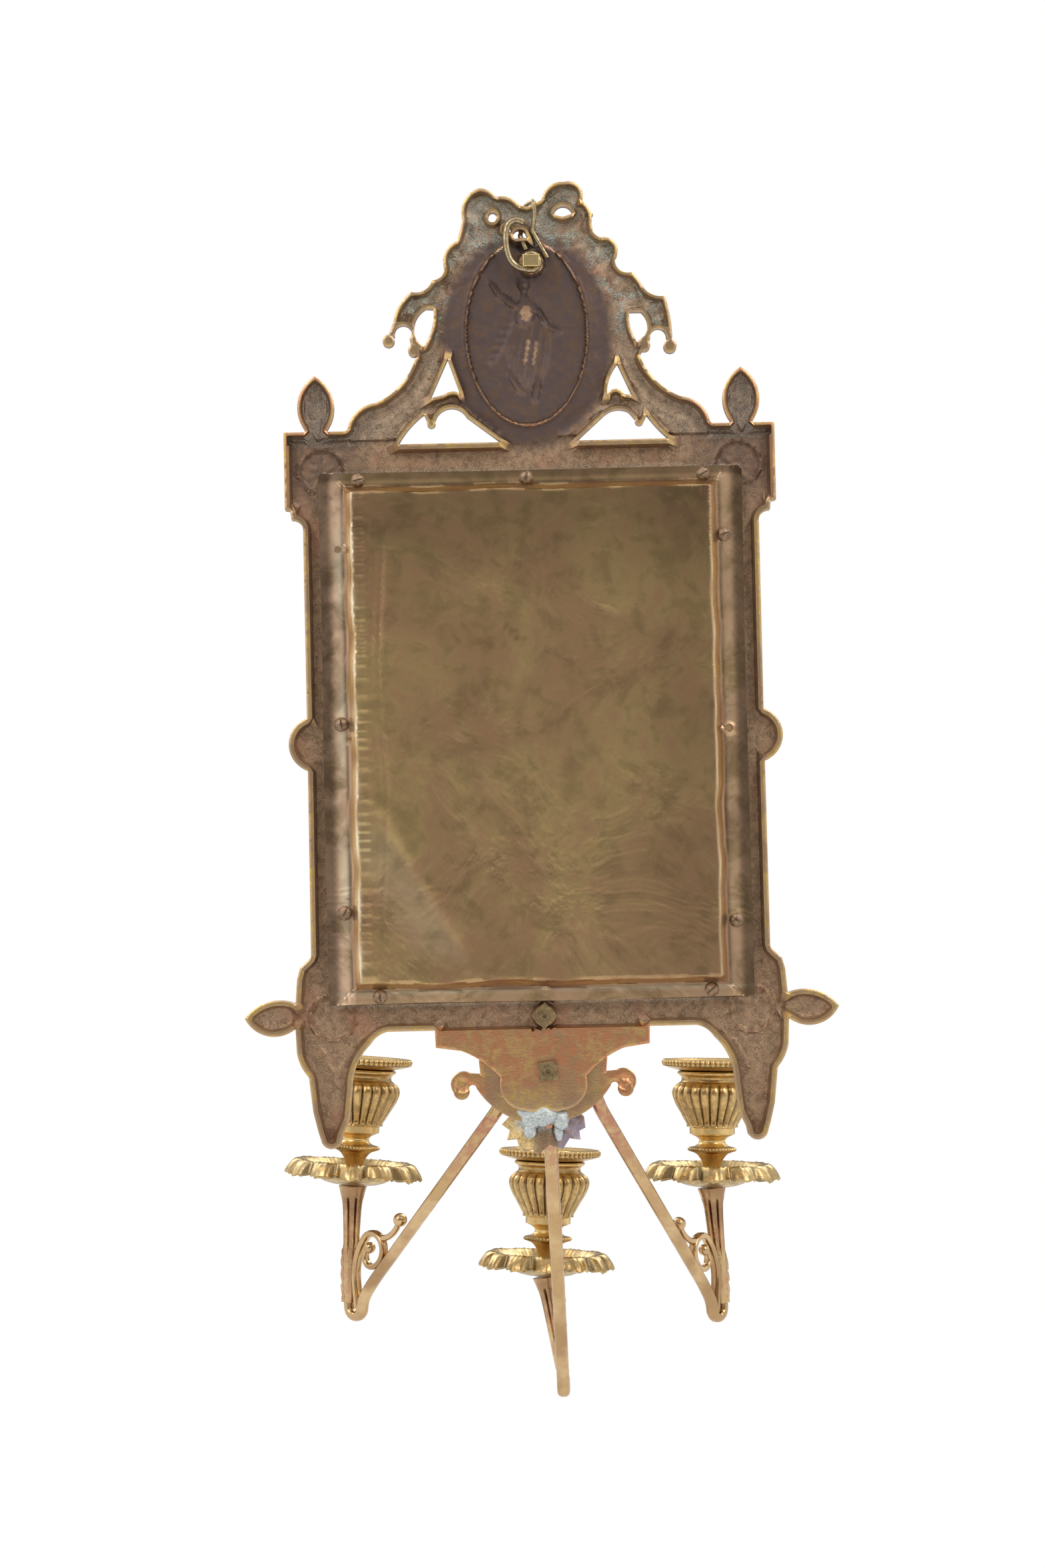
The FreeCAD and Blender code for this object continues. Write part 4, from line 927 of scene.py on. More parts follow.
def figure_relief(x, z):
    """Small draped dancing figure in low relief, all plain rounded forms."""
    body = most(*(bump_at(x, z, *mound) * high for *mound, high in FIGURE))
    skirt = bump_at(x, z, -1.0, 193.0, 11.0, 17.5, 6) * 2.0
    folds = 0.78 + 0.22 * np.sin((x + (z - 190) * 0.18) * 1.35)
    scarf = bump_at(x, z, 13.0, 200.0, 3.2, 15.0, 24) * 1.1
    return most(body, skirt * folds, scarf * (0.8 + 0.2 * np.sin(z * 1.6)))


GARLAND_ROUTE = [(30.0, 256.0), (34.0, 246.5), (37.5, 238.0), (43.0, 229.5), (50.5, 222.0),
                 (57.5, 217.5),
                 (63.0, 211.0)]
TAIL_ROUTES = [[(65.5, 212.0), (68.0, 206.5), (70.0, 201.0)],
               [(58.0, 212.0), (57.5, 206.0), (57.2, 199.0)]]
TAIL_SHIFT = 2.6


def garland_relief(x, z):
    """Rows of round fruits and leaves along the festoon and its tails."""
    side = np.where(x < 0, -x - TAIL_SHIFT, x)
    h = np.zeros_like(x)
    for index, (cx, cz) in enumerate(GARLAND_ROUTE):
        swell = 3.9 + 0.5 * math.sin(index * 1.9)
        h = most(h, bump_at(side, z, cx - 1.5, cz, swell, swell) * 2.6,
                 bump_at(side, z, cx + 4.2, cz + 2.4, 3.0, 3.4, 35) * 2.1,
                 bump_at(side, z, cx - 6.4, cz - 3.2, 3.0, 3.2, 35) * 1.8)
    return most(h, *(bump_at(side, z, cx, cz, 2.5, 2.9) * 2.0 for cx, cz in sum(TAIL_ROUTES, [])))


def bow_relief(x, z):
    """Two ribbon loops with folds drawn in to a knot."""
    cx, cz = 1.5, 252.0
    angle = np.arctan2(z - cz, x - cx)
    reach = np.hypot(x - cx, z - cz)
    folds = 0.9 * np.sin(angle * 13.0 + 0.05 * reach) * ease(4, 12, reach)
    loops = bump_at(x, z, 17.5, 262.0, 15.0, 10.5, 40) + bump_at(x, z, -18.5, 262.5, 15.5, 10.5,
                                                                 -42)
    tails = bump_at(x, z, 23.0, 249.0, 14.0, 5.0, 14) + bump_at(x, z, -22.0, 249.0, 14.0, 5.0, -14)
    knot = bump_at(x, z, cx, cz, 6.4, 8.0)
    return most(most(loops, tails * 0.8) * (2.0 + folds), knot * 3.2)


def near_curve(x, z, points):
    """Distance to a bent line and how far along it the nearest point is, in millimetres."""
    points = np.array(points)
    starts, ends = points[:-1], points[1:]
    along = ends - starts
    length = np.sqrt((along ** 2).sum(1))
    base = np.concatenate([[0], np.cumsum(length)[:-1]])
    flat = np.stack([x, z], 1)[:, None, :] - starts[None]
    share = np.clip((flat * along[None]).sum(2) / (length ** 2), 0, 1)
    gap = np.sqrt(((flat - share[..., None] * along[None]) ** 2).sum(2))
    best = gap.argmin(1)
    rows = np.arange(len(x))
    return gap[rows, best], base[best] + share[rows, best] * length[best]


BRACE_SPINE = [(88.0, 152.0), (85.5, 158.5), (79.5, 163.0), (71.0, 167.0), (63.0, 173.0),
               (57.0, 181.0),
               (52.5, 189.0), (46.0, 199.0)]
STRAP_SPINE = [(17.0, 154.0), (25.0, 160.0), (34.0, 166.5), (43.0, 169.0), (50.0, 167.0),
               (58.0, 161.5),
               (66.0, 154.0), (71.0, 149.5)]
LEG_SPINE = [(117.0, -148.0), (116.5, -158.0), (111.5, -168.0), (108.0, -180.0), (106.8, -191.0),
             (107.0, -200.0)]
LEG_INNER = [(84.0, -151.0), (92.0, -157.0), (97.5, -166.0), (101.0, -178.0), (104.0, -190.0)]


def scroll_relief(x, z):
    """Leafy ridges on braces, straps and legs."""
    side = np.abs(x)
    h = np.zeros_like(x)
    for spine, wide, high, pitch in ((BRACE_SPINE, 6.0, 2.4, 3.6), (STRAP_SPINE, 4.2, 1.8, 3.4),
                                     (LEG_SPINE, 6.4, 1.3, 4.2), (LEG_INNER, 4.6, 1.0, 3.8)):
        gap, run = near_curve(side, z, spine)
        ridge = np.clip(1 - (gap / wide) ** 2, 0, None)
        serration = 0.93 + 0.07 * np.sin((run + gap * 1.1) * 2 * math.pi / pitch)
        h = np.maximum(h, ridge ** 0.6 * high * serration)
    h = np.maximum(h, bump_at(side, z, 107.0, -200.0, 6.0, 6.0) * 2.4)
    return h


def leaf_relief(x, z):
    """Veined side leaves at the bottom blocks and the two finials."""
    side = np.abs(x)
    leaf = bump_at(side, z, 133.0, -139.4, 19.0, 9.5)
    veins = 0.8 + 0.2 * np.sin((side - 120 - np.abs(z + 139.4) * 1.3) * 1.5)
    h = leaf * 2.0 * veins
    bud = bump_at(side, z, 107.3, 167.0, 8.8, 16.0)
    ribs = 0.8 + 0.2 * np.cos((side - 107.3) * 1.9)
    return np.maximum(h, bud * 2.6 * ribs)


def rosette_relief(x, z, cx, cz, radius):
    """Petals round a domed eye; height one at most."""
    side = np.abs(x) - cx
    up = z - cz
    reach = np.hypot(side, up)
    angle = np.arctan2(up, side)
    petal = np.clip(1 - np.abs(reach - radius * 0.60) / (radius * 0.42), 0, None)
    petal = petal ** 0.7 * (0.55 + 0.45 * np.cos(angle * 8))
    ring = np.clip(1 - np.abs(reach - radius * 0.98) / (radius * 0.12), 0, None)
    eye = np.clip(1 - (reach / (radius * 0.26)) ** 2, 0, None) ** 0.5
    return most(petal * 0.9, ring * 0.6, eye)


def rim_distance(region):
    """Distance to the outline and the crest's openings, leaving out the sight edge."""
    middle = (region.starts + region.ends) / 2
    sight = (np.abs(middle[:, 0]) < SIGHT_X + 1) & (np.abs(middle[:, 1]) < SIGHT_Z + 1)
    return edge_distance(region.flat, region.starts[~sight], region.ends[~sight])


def apron_mask(x, z):
    return (np.abs(x) < 54.2) & (z < RAIL_BOTTOM_Z + 0.4)


def crest_mask(x, z):
    return (z > RAIL_TOP_Z + 0.2) & ~((np.abs(x) > 86) & (z < BLOCK_TOP_Z))


def finial_mask(x, z):
    return (z > 152) & (np.abs(x) > 96)


def casting_back(x, z, rim):
    """Depth of the back below the filed rim."""
    crest = z > BLOCK_TOP_Z - 4
    floor = np.where(crest, 4.2, 6.0)
    floor = np.where(np.abs(x) > BLOCK_X, 2.6, floor)
    floor = np.where(finial_mask(x, z), 3.2, floor)
    relief = most(garland_relief(x, z), bow_relief(x, z), scroll_relief(x, z), leaf_relief(x, z))
    inner = ease(RIM_W - 0.9, RIM_W + 0.5, rim)
    depth = floor * inner
    depth += (relief * 0.95 - 0.9 * (relief > 0)) * ease(RIM_W, RIM_W + 1.6, rim) * (rim > RIM_W)
    for cz in CORNER_Z:
        reach = np.hypot(np.abs(x) - CORNER_X, z - cz)
        dish = ease(DISH_R + 1.2, DISH_R, reach)
        depth += (0.8 + 0.7 * rosette_relief(x, z, CORNER_X, cz, DISH_R)) * dish * inner
        depth -= 1.4 * np.clip(1 - np.abs(reach - CORNER_R) / 1.0, 0, None) * inner
    share = oval_share(x, z, OVAL_Z, *OVAL_HALF)
    field = oval_share(x, z, FIELD_Z, *FIELD_HALF)
    in_oval = ease(1.0, 0.96, share)
    band = 3.6 + 0.8 * np.cos((1 - share) * 9.0)
    dish = 4.2 + 0.8 * (1 - field ** 2) + 1.45 * figure_relief(x, z)
    lip = 1.7 * np.clip(1 - np.abs(field - 1.02) / 0.045, 0, None)
    oval_depth = np.where(field < 1.0, dish, band - lip)
    clear = in_oval * ease(RIM_W - 0.9, RIM_W + 0.5, rim) * (relief < 0.4)
    depth = depth * (1 - clear) + oval_depth * clear
    ledge = ease(LEDGE_X + 0.9, LEDGE_X + 0.1, np.abs(x)) * ease(LEDGE_Z + 0.9,
                                                                 LEDGE_Z + 0.1, np.abs(z))
    depth *= 1 - ledge
    for cx, cz, r in TAIL_ENDS:
        depth *= ease(r - 0.6, r + 1.0, np.hypot(x - cx, z - cz))
    depth *= ~apron_mask(x, z)
    stud = ease(7.4, 5.8, np.hypot(x - STUD[0], z - STUD[1]))
    depth = depth * (1 - stud) + 0.4 * stud
    return depth


def sight_moulding(s):
    """Height of the rail moulding against the distance out from the sight edge."""
    at = [0, 0.8, 1.6, 2.6, 3.2, 4.4, 5.0, 6.5, 9.0, 12.0, 13.0, 14.2, 16.0, 18.0, 20.0, 22.0, 23.0,
          25.0,
          27.0, 28.4, 29.2, 33.0]
    high = [2.0, 3.4, 4.0, 3.4, 2.2, 2.2, 3.4, 5.2, 6.8, 7.4, 6.6, 6.6, 8.4, 9.0, 8.4, 6.8, 6.6,
            6.2,
            5.0, 3.4, 2.0, 2.0]
    return np.interp(s, at, high)


def casting_front(x, z, rim):
    """Height of the front above the flat ground, towards the room."""
    s = np.maximum(np.abs(x) - SIGHT_X, np.abs(z) - SIGHT_Z)
    along = np.where(np.abs(x) - SIGHT_X > np.abs(z) - SIGHT_Z, z, x)
    rail = (np.abs(z) < RAIL_TOP_Z + 0.5) & (s > -0.5) & (s < 33.5)
    rail &= ~((z < RAIL_BOTTOM_Z) & (np.abs(x) < 54))
    h = np.where(rail, sight_moulding(s), 0)
    row_s, pitch, half = PEARLS
    pearl = np.abs(((along / pitch) % 1) - 0.5) * pitch
    row = np.clip(1 - ((s - row_s) / half) ** 2 - (pearl / 1.6) ** 2, 0, None) ** 0.5
    h = np.where(rail & (np.abs(s - row_s) < 2.3), 7.2 + 2.0 * row, h)
    row_s, pitch, half = TONGUES
    tongue = 0.5 + 0.5 * np.cos(along * 2 * math.pi / pitch)
    h += rail * np.clip(1 - ((s - row_s) / half) ** 2, 0, None) * tongue * 0.9
    cx, block_z, half_x, half_z = FRONT_BLOCK
    for cz in (block_z, -block_z):
        edge = np.maximum(np.abs(np.abs(x) - cx) - half_x, np.abs(z - cz) - half_z)
        face = ease(0.2, -1.6, edge)
        petal = rosette_relief(x, z, cx, cz, 11.0) * 3.4
        raised = (7.0 - 0.9 * ease(-2.2, -3.6, edge) + petal) * face
        h = np.where(edge < 0.2, np.maximum(raised, 2.0 * (1 - face)), h)
    reach = np.hypot(np.abs(x) - SIDE_BOSS[0], z - SIDE_BOSS[1])
    boss = np.clip(1 - (reach / SIDE_BOSS[2]) ** 2, 0, None) ** 0.5
    fan = 0.82 + 0.18 * np.cos(np.arctan2(z - SIDE_BOSS[1], np.abs(x) - SIDE_BOSS[0]) * 14)
    h = np.maximum(h, boss * 6.4 * fan * (reach < SIDE_BOSS[2]))
    legs = (z < -150) & (np.abs(x) > 80)
    h = np.where(legs, 3.2 + scroll_relief(x, z) * 1.1, h)
    relief = most(garland_relief(x, z) * 1.25, bow_relief(x, z) * 1.2, scroll_relief(x, z),
                  leaf_relief(x, z) * 1.1)
    share = oval_share(x, z, OVAL_Z, *OVAL_HALF)
    field = oval_share(x, z, OVAL_Z, FIELD_HALF[0] + 3.5, FIELD_HALF[1] - 2.0)
    ring = np.clip(1 - ((share - 0.90) / 0.13) ** 2, 0, None) ** 0.5 * 4.2
    theta = np.arctan2((z - OVAL_Z) / OVAL_HALF[1], x / OVAL_HALF[0])
    beads = np.clip(1 - ((share - 0.80) / 0.028) ** 2 - (np.sin(theta * 44) * 0.95) ** 2, 0,
                    None) ** 0.5
    ring = np.maximum(ring, beads * 2.6 + 1.2 * (np.abs(share - 0.80) < 0.035))
    dome = np.where(field < 1, 1.6 * (1 - field ** 2) + figure_relief(x, z) * 1.1, 0)
    medallion = np.where(share < 1, np.maximum(ring, dome), 0)
    crest = crest_mask(x, z)
    h = np.where(crest, np.maximum(relief, medallion), h)
    side_leaf = np.abs(x) > BLOCK_X - 0.2
    h = np.where(side_leaf, leaf_relief(x, z) * 1.2, h)
    return h * ease(-0.1, 0.9, rim)


def frame_casting(material):
    solids = []
    for outline in (body_outline(), apron_outline(), side_leaf_outline(), finial_outline(),
                    brace_outline(), disc(*SIDE_BOSS)):
        solids += both_sides(outline)
    solids += [oval(OVAL_HALF[0], OVAL_HALF[1], OVAL_Z)] + bow_outlines() + garlands()
    solids += [disc(x, z, r, 0.8) for x, z, r in TAIL_ENDS]
    openings = [block(SIGHT_X, SIGHT_Z)] + crest_openings() + bow_eyes()
    openings += [disc(x, z, 2.7, 0.8) for x, z in MOUNT_STUDS]
    fine = [(-95, 95, 150, 281, 1.15), (86, 126, 115, 153, 1.2), (-126, -86, 115, 153, 1.2),
            (80, 126, -207, -115, 1.2), (-126, -80, -207, -115, 1.2),
            (95.5, 101.5, -116, 116, 1.0), (-101.5, -95.5, -116, 116, 1.0),
            (-88, 88, 129.5, 135.5, 1.0), (-88, 88, -135.5, -129.5, 1.0)]
    region = Region(solids, openings, (0.45, 1.6, 2.6, 3.2, 3.9, 5.0), 1.9, fine)
    x, z = region.flat.T
    rim = rim_distance(region)
    rim = np.where(z > RAIL_TOP_Z, rim * CREST_RIM, rim)
    depth = casting_back(x, z, rim)
    rough = rough_field(x, z, 0.28, 3.0)
    coarse = rough_field(x, z, 0.09, 11.0)
    in_recess = ease(0.3, 2.0, depth)
    depth = depth + (0.12 * rough + 0.28 * coarse) * in_recess + 0.10 * coarse * (1 - in_recess)
    depth += 0.35 * np.clip(1 - rim / 0.45, 0, 1) ** 2
    depth = np.maximum(depth, 0.0)
    crest = crest_mask(x, z)
    ground = np.where(crest, BACK_Y - CREST_T, WEB_Y)
    ground = np.where((np.abs(x) > BLOCK_X - 0.2) & (z < -100), BACK_Y - THIN_T, ground)
    ground = np.where(finial_mask(x, z), BACK_Y - THIN_T, ground)
    ground = np.where(apron_mask(x, z), BACK_Y - APRON_T, ground)
    front = ground - casting_front(x, z, rim) * ~apron_mask(x, z)
    front = np.minimum(front, BACK_Y - depth - THINNEST)
    piece = region.solid("casting", BACK_Y - depth, front)

    def bright(x, y, z):
        below = np.clip(BACK_Y - y, 0, 20)
        rear = ease(1.5, 0.35, below)
        fore = ease(-16.8, -18.4, y) * 0.85
        share = oval_share(x, z, FIELD_Z, *FIELD_HALF)
        lip = 0.55 * bell(share - 1.02, 0.025) * (z > 150)
        corner = np.abs(z + 2.5) - 137.5       # the discs' centres are this far from z = -2.5
        # painted highlight along the raised ring round each corner disc
        ring = 0.45 * bell(np.hypot(np.abs(x) - CORNER_X, corner) - CORNER_R, 0.7)
        return most(rear, fore, np.maximum(lip, ring) * (y > REAR_PAINT_Y))

    def violet(x, y, z):
        share = oval_share(x, z, OVAL_Z, *OVAL_HALF)
        high = ease(1.12, 0.92, share) * ease(0.5, 2.0, BACK_Y - y)
        apron = apron_mask(x, z) * ease(-190, -168, z)
        corners = 0.6 * ease(108, 132, z) * ease(70, 96, np.abs(x))
        return most(most(high, corners) * (y > REAR_PAINT_Y), apron)

    def green(x, y, z):
        foot = np.maximum(np.abs(x) - LEDGE_X, np.abs(z) - LEDGE_Z)
        step = bell(foot - 1.2, 1.2)
        share = oval_share(x, z, OVAL_Z, *OVAL_HALF)
        near = ease(0.94, 1.05, share) * ease(186, 214, z)
        drift = 0.5 + 0.5 * rough_field(x, z, 0.13, 41.0, 2)
        patches = near * ease(0.42, 0.70, drift) * ease(0.2, 1.2, BACK_Y - y)
        bow = ease(243, 252, z) * ease(36, 14, np.abs(x - 6))
        bow = bow * ease(0.3, 0.6, drift)
        braces = 0.3 * (z > RAIL_TOP_Z) * (share > 1.06)
        return np.clip(0.4 * step + patches + bow + braces, 0, 1) * (y > REAR_PAINT_Y)

    paint(piece, bright, violet, green)
    finish_piece(piece, material, "mirror", "cast_brass", "frame_casting")


# ---------------------------------------------------------------- sheet pan
def dent_side(x, z):
    """Distance from the line of the slanting dent near the pan's lower corner."""
    return (x - 84.0) * 0.858 - (z + 34.6) * 0.513


def pan_height(x, z):
    """Back surface of the pan: flange, sloping sides and a slightly wavy raised panel."""
    wave_x = 1.1 * rough_field(z, z * 0, 0.035, 5.0, 2)
    wave_z = 0.9 * rough_field(x, x * 0, 0.03, 9.0, 2)
    out = np.maximum((np.abs(x + wave_x) - PAN_TOP[0]) / (PAN_FOOT[0] - PAN_TOP[0]),
                     (np.abs(z + wave_z) - PAN_TOP[1]) / (PAN_FOOT[1] - PAN_TOP[1]))
    rise = ease(1.12, -0.12, out)
    flange = BACK_Y + SHEET_T
    panel = -0.75 + 0.45 * rough_field(x, z, 0.016, 2.0, 3) - 0.25 * rough_field(x, z, 0.05, 7.0,
                                                                                 2) ** 2
    crease = bell(x - 77.5 - 1.5 * np.sin(z * 0.05), 1.3) * ease(118, 95, np.abs(z))
    panel -= 0.8 * crease
    wrinkle = bell(x - 86.0, 5.0) * np.sin(z * 0.55 + 1.5 * np.sin(z * 0.13))
    panel -= 0.35 * np.abs(wrinkle) * ease(0, 0.4, np.abs(wrinkle))
    dent = dent_side(x, z)
    panel -= 0.5 * bell(dent, 3.5) * ease(-118, -100, z) * ease(-20, -45, z)
    panel -= 0.5 * ease(-3, 6, dent) * ease(-30, -50, z)
    fold = (x - 86.0) * 0.5 + (z - 118.0) * 0.866
    panel -= 0.6 * bell(fold, 2.5) * ease(-20, -50, x)
    panel = np.minimum(panel, -0.02)
    height = flange + (panel - flange) * rise
    fold = np.abs(np.abs(x) - PAN_FOOT[0] - (np.abs(z) - PAN_FOOT[1])) < 0.9
    fold &= (np.abs(x) > PAN_FOOT[0] - 2) & (np.abs(z) > PAN_FOOT[1] - 2)
    height += 0.5 * fold * (1 - rise)
    height += 0.22 * rough_field(x, z, 0.05, 21.0, 2) * (1 - rise)
    for cx, cz in SCREWS:
        reach = np.hypot(x - cx, z - cz)
        height -= 0.35 * bell(reach, 5.5)
    collar = np.hypot(x - SPARE_HOLES[1][0], z - SPARE_HOLES[1][1])
    height += 0.8 * bell(collar - 2.5, 0.7)
    return height


def back_plate(material):
    edge = trace([(-FLANGE[0], -FLANGE[1] + 0.6), (-30.0, -FLANGE[1]), (60.0, -FLANGE[1] + 0.5),
                  (FLANGE[0] - 0.3, -FLANGE[1]), (FLANGE[0], -20.0), (FLANGE[0] - 0.5, 60.0),
                  (FLANGE[0], FLANGE[1] - 1.2), (105.6, FLANGE[1]), (20.0, FLANGE[1] - 0.4),
                  (-104.5, FLANGE[1] - 0.2), (-FLANGE[0] + 0.2, FLANGE[1] - 2.4),
                  (-FLANGE[0] + 0.7, 40.0)], 1.5)
    holes = [disc(x, z, 1.75, 0.6) for x, z in SPARE_HOLES] + [disc(93.7, -0.2, 0.9, 0.4)]
    fine = [(84, 100, -130, 130, 1.1), (-100, -84, -130, 130, 1.1), (-100, 100, 117, 130, 1.1),
            (-100, 100, -130, -117, 1.1)]
    region = Region([edge], holes, (0.5,), 2.2, fine)
    x, z = region.flat.T
    back = pan_height(x, z)
    out = np.maximum(np.abs(x) - PAN_TOP[0], np.abs(z) - PAN_TOP[1])
    front = back - SHEET_T
    front = np.where(out > 4.5, np.maximum(front, BACK_Y + 0.02), front)
    back = np.maximum(back, front + 0.3)
    piece = region.solid("pan", back, front)

    def lit_copper(x, y, z):
        out_x = ease(PAN_FOOT[0] - 2, PAN_FOOT[0], np.abs(x))
        out_z = ease(PAN_FOOT[1] - 2, PAN_FOOT[1], np.abs(z))
        # real coppery flange tone, painted strongest on the +x flange that faces the light and
        # weaker on the -x side, top and bottom as painted shade
        side = np.where(x > 0, 1.0, 0.5)
        return np.maximum(out_x * side, out_z * np.where(z > 0, 0.15, 0.35))

    def bright(x, y, z):
        # painted highlights along the steps, the flange and the bottom edge, and a painted lighter
        # dent near the lower corner
        step = bell(x - 91.0, 1.8) * 0.95
        step *= 0.6 + 0.4 * np.sin(z * 0.21)
        flange = bell(x - 97.0, 2.2) * 0.9 * (0.55 + 0.45 * np.sin(z * 0.08 + 1.0))
        other = bell(x + 91.0, 1.1) * 0.30
        edges = most(step, flange, other) * (np.abs(z) < PAN_TOP[1])
        dent = dent_side(x, z)
        corner = ease(-4, 3, dent) * ease(30, 5, dent) * (np.abs(x) < 89)
        corner *= ease(-118, -105, z) * ease(-30, -60, z)
        low = bell(np.abs(x) - 60, 60) * bell(z + 128, 1.0) * 0.5
        return most(edges, 0.16 * corner, low)

    def dark(x, y, z):
        # painted shade: a dark line along the pan's foot, a darker top and -x side, and darker
        # outer flange edges; the spot near the middle is a real stain
        foot = np.maximum(np.abs(x) - PAN_FOOT[0] - 0.4, np.abs(z) - PAN_FOOT[1] - 0.4)
        line = 0.75 * bell(foot, 1.2)
        inner = (np.abs(x) < PAN_TOP[0]) & (np.abs(z) < PAN_TOP[1])
        top = 0.40 * ease(60, 118, z) + 0.22 * ease(-30, -85, x)
        stain = 0.6 * np.exp(-((x - 14) / 12) ** 2 - ((z - 49) / 6) ** 2)
        stain *= ease(0.5, 0.8, 0.5 + 0.5 * rough_field(x, z, 0.3, 5.0, 2))
        outer = 0.75 * ease(99, 103, np.abs(x)) + 0.55 * ease(128, 131, z)
        return np.clip(line + inner * (top + stain) + outer, 0, 0.9)

    paint(piece, lit_copper, bright, dark)
    finish_piece(piece, material, "mirror", "sheet_brass", "back_plate")


# ---------------------------------------------------------------- arm mount and leaf
def arm_mount(material):
    half = trace([
        (0, -160.0), (24.0, -160.0), (32.3, -162.6), (31.6, -169.6), (36.5, -169.2),
        ((44.8, -170.2), (45.2, -178.6)), ((40.8, -182.4), (37.2, -178.2)),
        ((36.8, -175.4), (33.6, -176.8)), ((28.0, -184.0), (17.6, -191.4)), (6.5, -196.0),
        (0, -196.0),
    ], 1.0)
    region = Region(both_sides(half), [disc(*MOUNT_STUDS[1], 2.6, 0.6)], (0.4, 1.2, 2.4), 1.3)
    x, z = region.flat.T
    side = np.abs(x)
    back_top = BACK_Y - APRON_T
    scroll = bump_at(side, z, 41.0, -175.6, 5.2, 6.4)
    groove = bell(np.hypot(side - 41.0, z + 175.6) - 2.6, 0.7)
    back = back_top - 0.05 - 0.6 * region.edge(0.6)
    back = back - 0.9 * groove * (scroll > 0)
    domed = np.clip(1 - (side / 34.0) ** 2 - ((z + 176.0) / 22.0) ** 2, 0, None) ** 0.5
    ribs = 0.85 + 0.15 * np.cos(np.arctan2(side, -(z + 158.0)) * 17)
    front = back_top - MOUNT_T - 6.5 * domed * ribs - 2.2 * scroll
    front += 2.4 * region.edge(2.4)
    parts = [region.solid("mount_body", back, front)]
    tongue = trace([(0, -172.0), (12.0, -172.0), ((15.5, -152.0), (11.0, -140.0)),
                    ((9.0, -129.0), (0, -122.0))],
                   1.0)
    region = Region(both_sides(tongue), [], (0.4, 1.2, 2.4), 1.2)
    x, z = region.flat.T
    fan = np.cos(np.arctan2(x, z + 172.0) * 22)
    front = TONGUE_Y - 4.0 - 1.6 * np.clip(1 - (x / 13) ** 2, 0, 1) * (0.7 + 0.3 * fan)
    front += 2.6 * region.edge(2.4)
    neck_back = np.where(z < -151.5, back_top - MOUNT_T + 0.4, TONGUE_Y)
    parts.append(region.solid("mount_tongue", neck_back, front))
    piece = join_objects("mount", parts)

    def bright(x, y, z):
        return 0.55 + 0.45 * ease(-14, -9, y) * (np.abs(x) > 30)

    def violet(x, y, z):
        return 0.25 + 0.75 * ease(26, 32, np.abs(x))

    paint(piece, bright, violet, 0.1)
    finish_piece(piece, material, "mirror", "cast_brass", "arm_mount")


def join_objects(name, objects):
    """Joins mesh objects into one new object, by copying their geometry and removing the originals.
    """
    parts = []
    for item in objects:
        points = [tuple(v.co / MM) for v in item.data.vertices]
        faces = [tuple(f.vertices) for f in item.data.polygons]
        parts.append((points, faces))
        bpy.data.objects.remove(item)
    return joined(name, parts)


SOLDER_BACK = 1.8        # the lumps sit this much further back than their listed places
SOLDER_GROW = 1.3


def root_leaf(material):
    """Serrated leaf over the middle root, with grey solder run over it."""
    outline = trace([
        (-20.0, -192.5), (-20.6, -198.0), (-17.5, -199.5), (-18.0, -204.0), (-12.5, -203.0),
        (-9.0, -208.5), (-2.5, -206.0), (4.0, -211.5), (7.5, -206.5), (12.5, -209.0),
        (14.0, -203.0), (19.0, -203.5), (17.5, -198.5), (21.5, -195.5), (16.0, -190.0),
        ((0, -184.0), (-20.0, -192.5)),
    ], 0.7)
    region = Region([outline], [], (0.35, 0.9), 0.8)
    x, z = region.flat.T
    base = BACK_Y - APRON_T - MOUNT_T
    veins = np.cos(np.arctan2(x, -(z + 184.0)) * 15)
    curl = 0.012 * (x ** 2) + 0.9 * veins * ease(-186, -200, z)
    back = base + 1.6 - curl * 0.7 + 0.4 * rough_field(x, z, 0.4, 4.0)
    back = np.minimum(back, base + 2.6)
    piece = region.solid("leaf", back, back - 1.5)

    def gilt(x, y, z):
        return ease(2.0, 9.0, x)

    def violet(x, y, z):
        return ease(-4.0, -10.0, x)

    def grey(x, y, z):
        return ease(-201.0, -195.0, z) * ease(15.0, 9.0, np.abs(x - 2))

    paint(piece, gilt, violet, grey)
    finish_piece(piece, material, "mirror", "cast_brass", "root_leaf")
    lumps = [((0.5, -13.4, -190.5), 4.6, (1.3, 0.7, 1.0)),
             ((6.5, -14.2, -192.5), 3.6, (1.1, 0.7, 1.2)),
             ((-8.2, -14.2, -193.0), 3.4, (1.0, 0.7, 1.3)),
             ((7.6, -14.8, -198.0), 2.6, (1, 0.7, 1.4)),
             ((9.5, -13.8, -189.0), 2.8, (1.3, 0.7, 0.9)),
             ((-7.0, -15.2, -199.5), 2.0, (0.9, 0.7, 1.8)),
             ((3.0, -12.6, -188.0), 3.0, (1.5, 0.6, 0.8))]
    parts = [sphere((cx, cy + SOLDER_BACK, cz), r * SOLDER_GROW, 14, 20, squash)
             for (cx, cy, cz), r, squash in lumps]
    solder = joined("solder", parts, 180.0)
    for vertex in solder.data.vertices:
        grown = noise.fractal(vertex.co / MM * 0.5, 0.9, 2.0, 3, noise_basis="PERLIN_ORIGINAL")
        vertex.co += vertex.normal * grown * 0.7 * MM
    paint(solder, 0, 0, 1)
    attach(solder, "mirror")
    solder.data.materials.append(material)


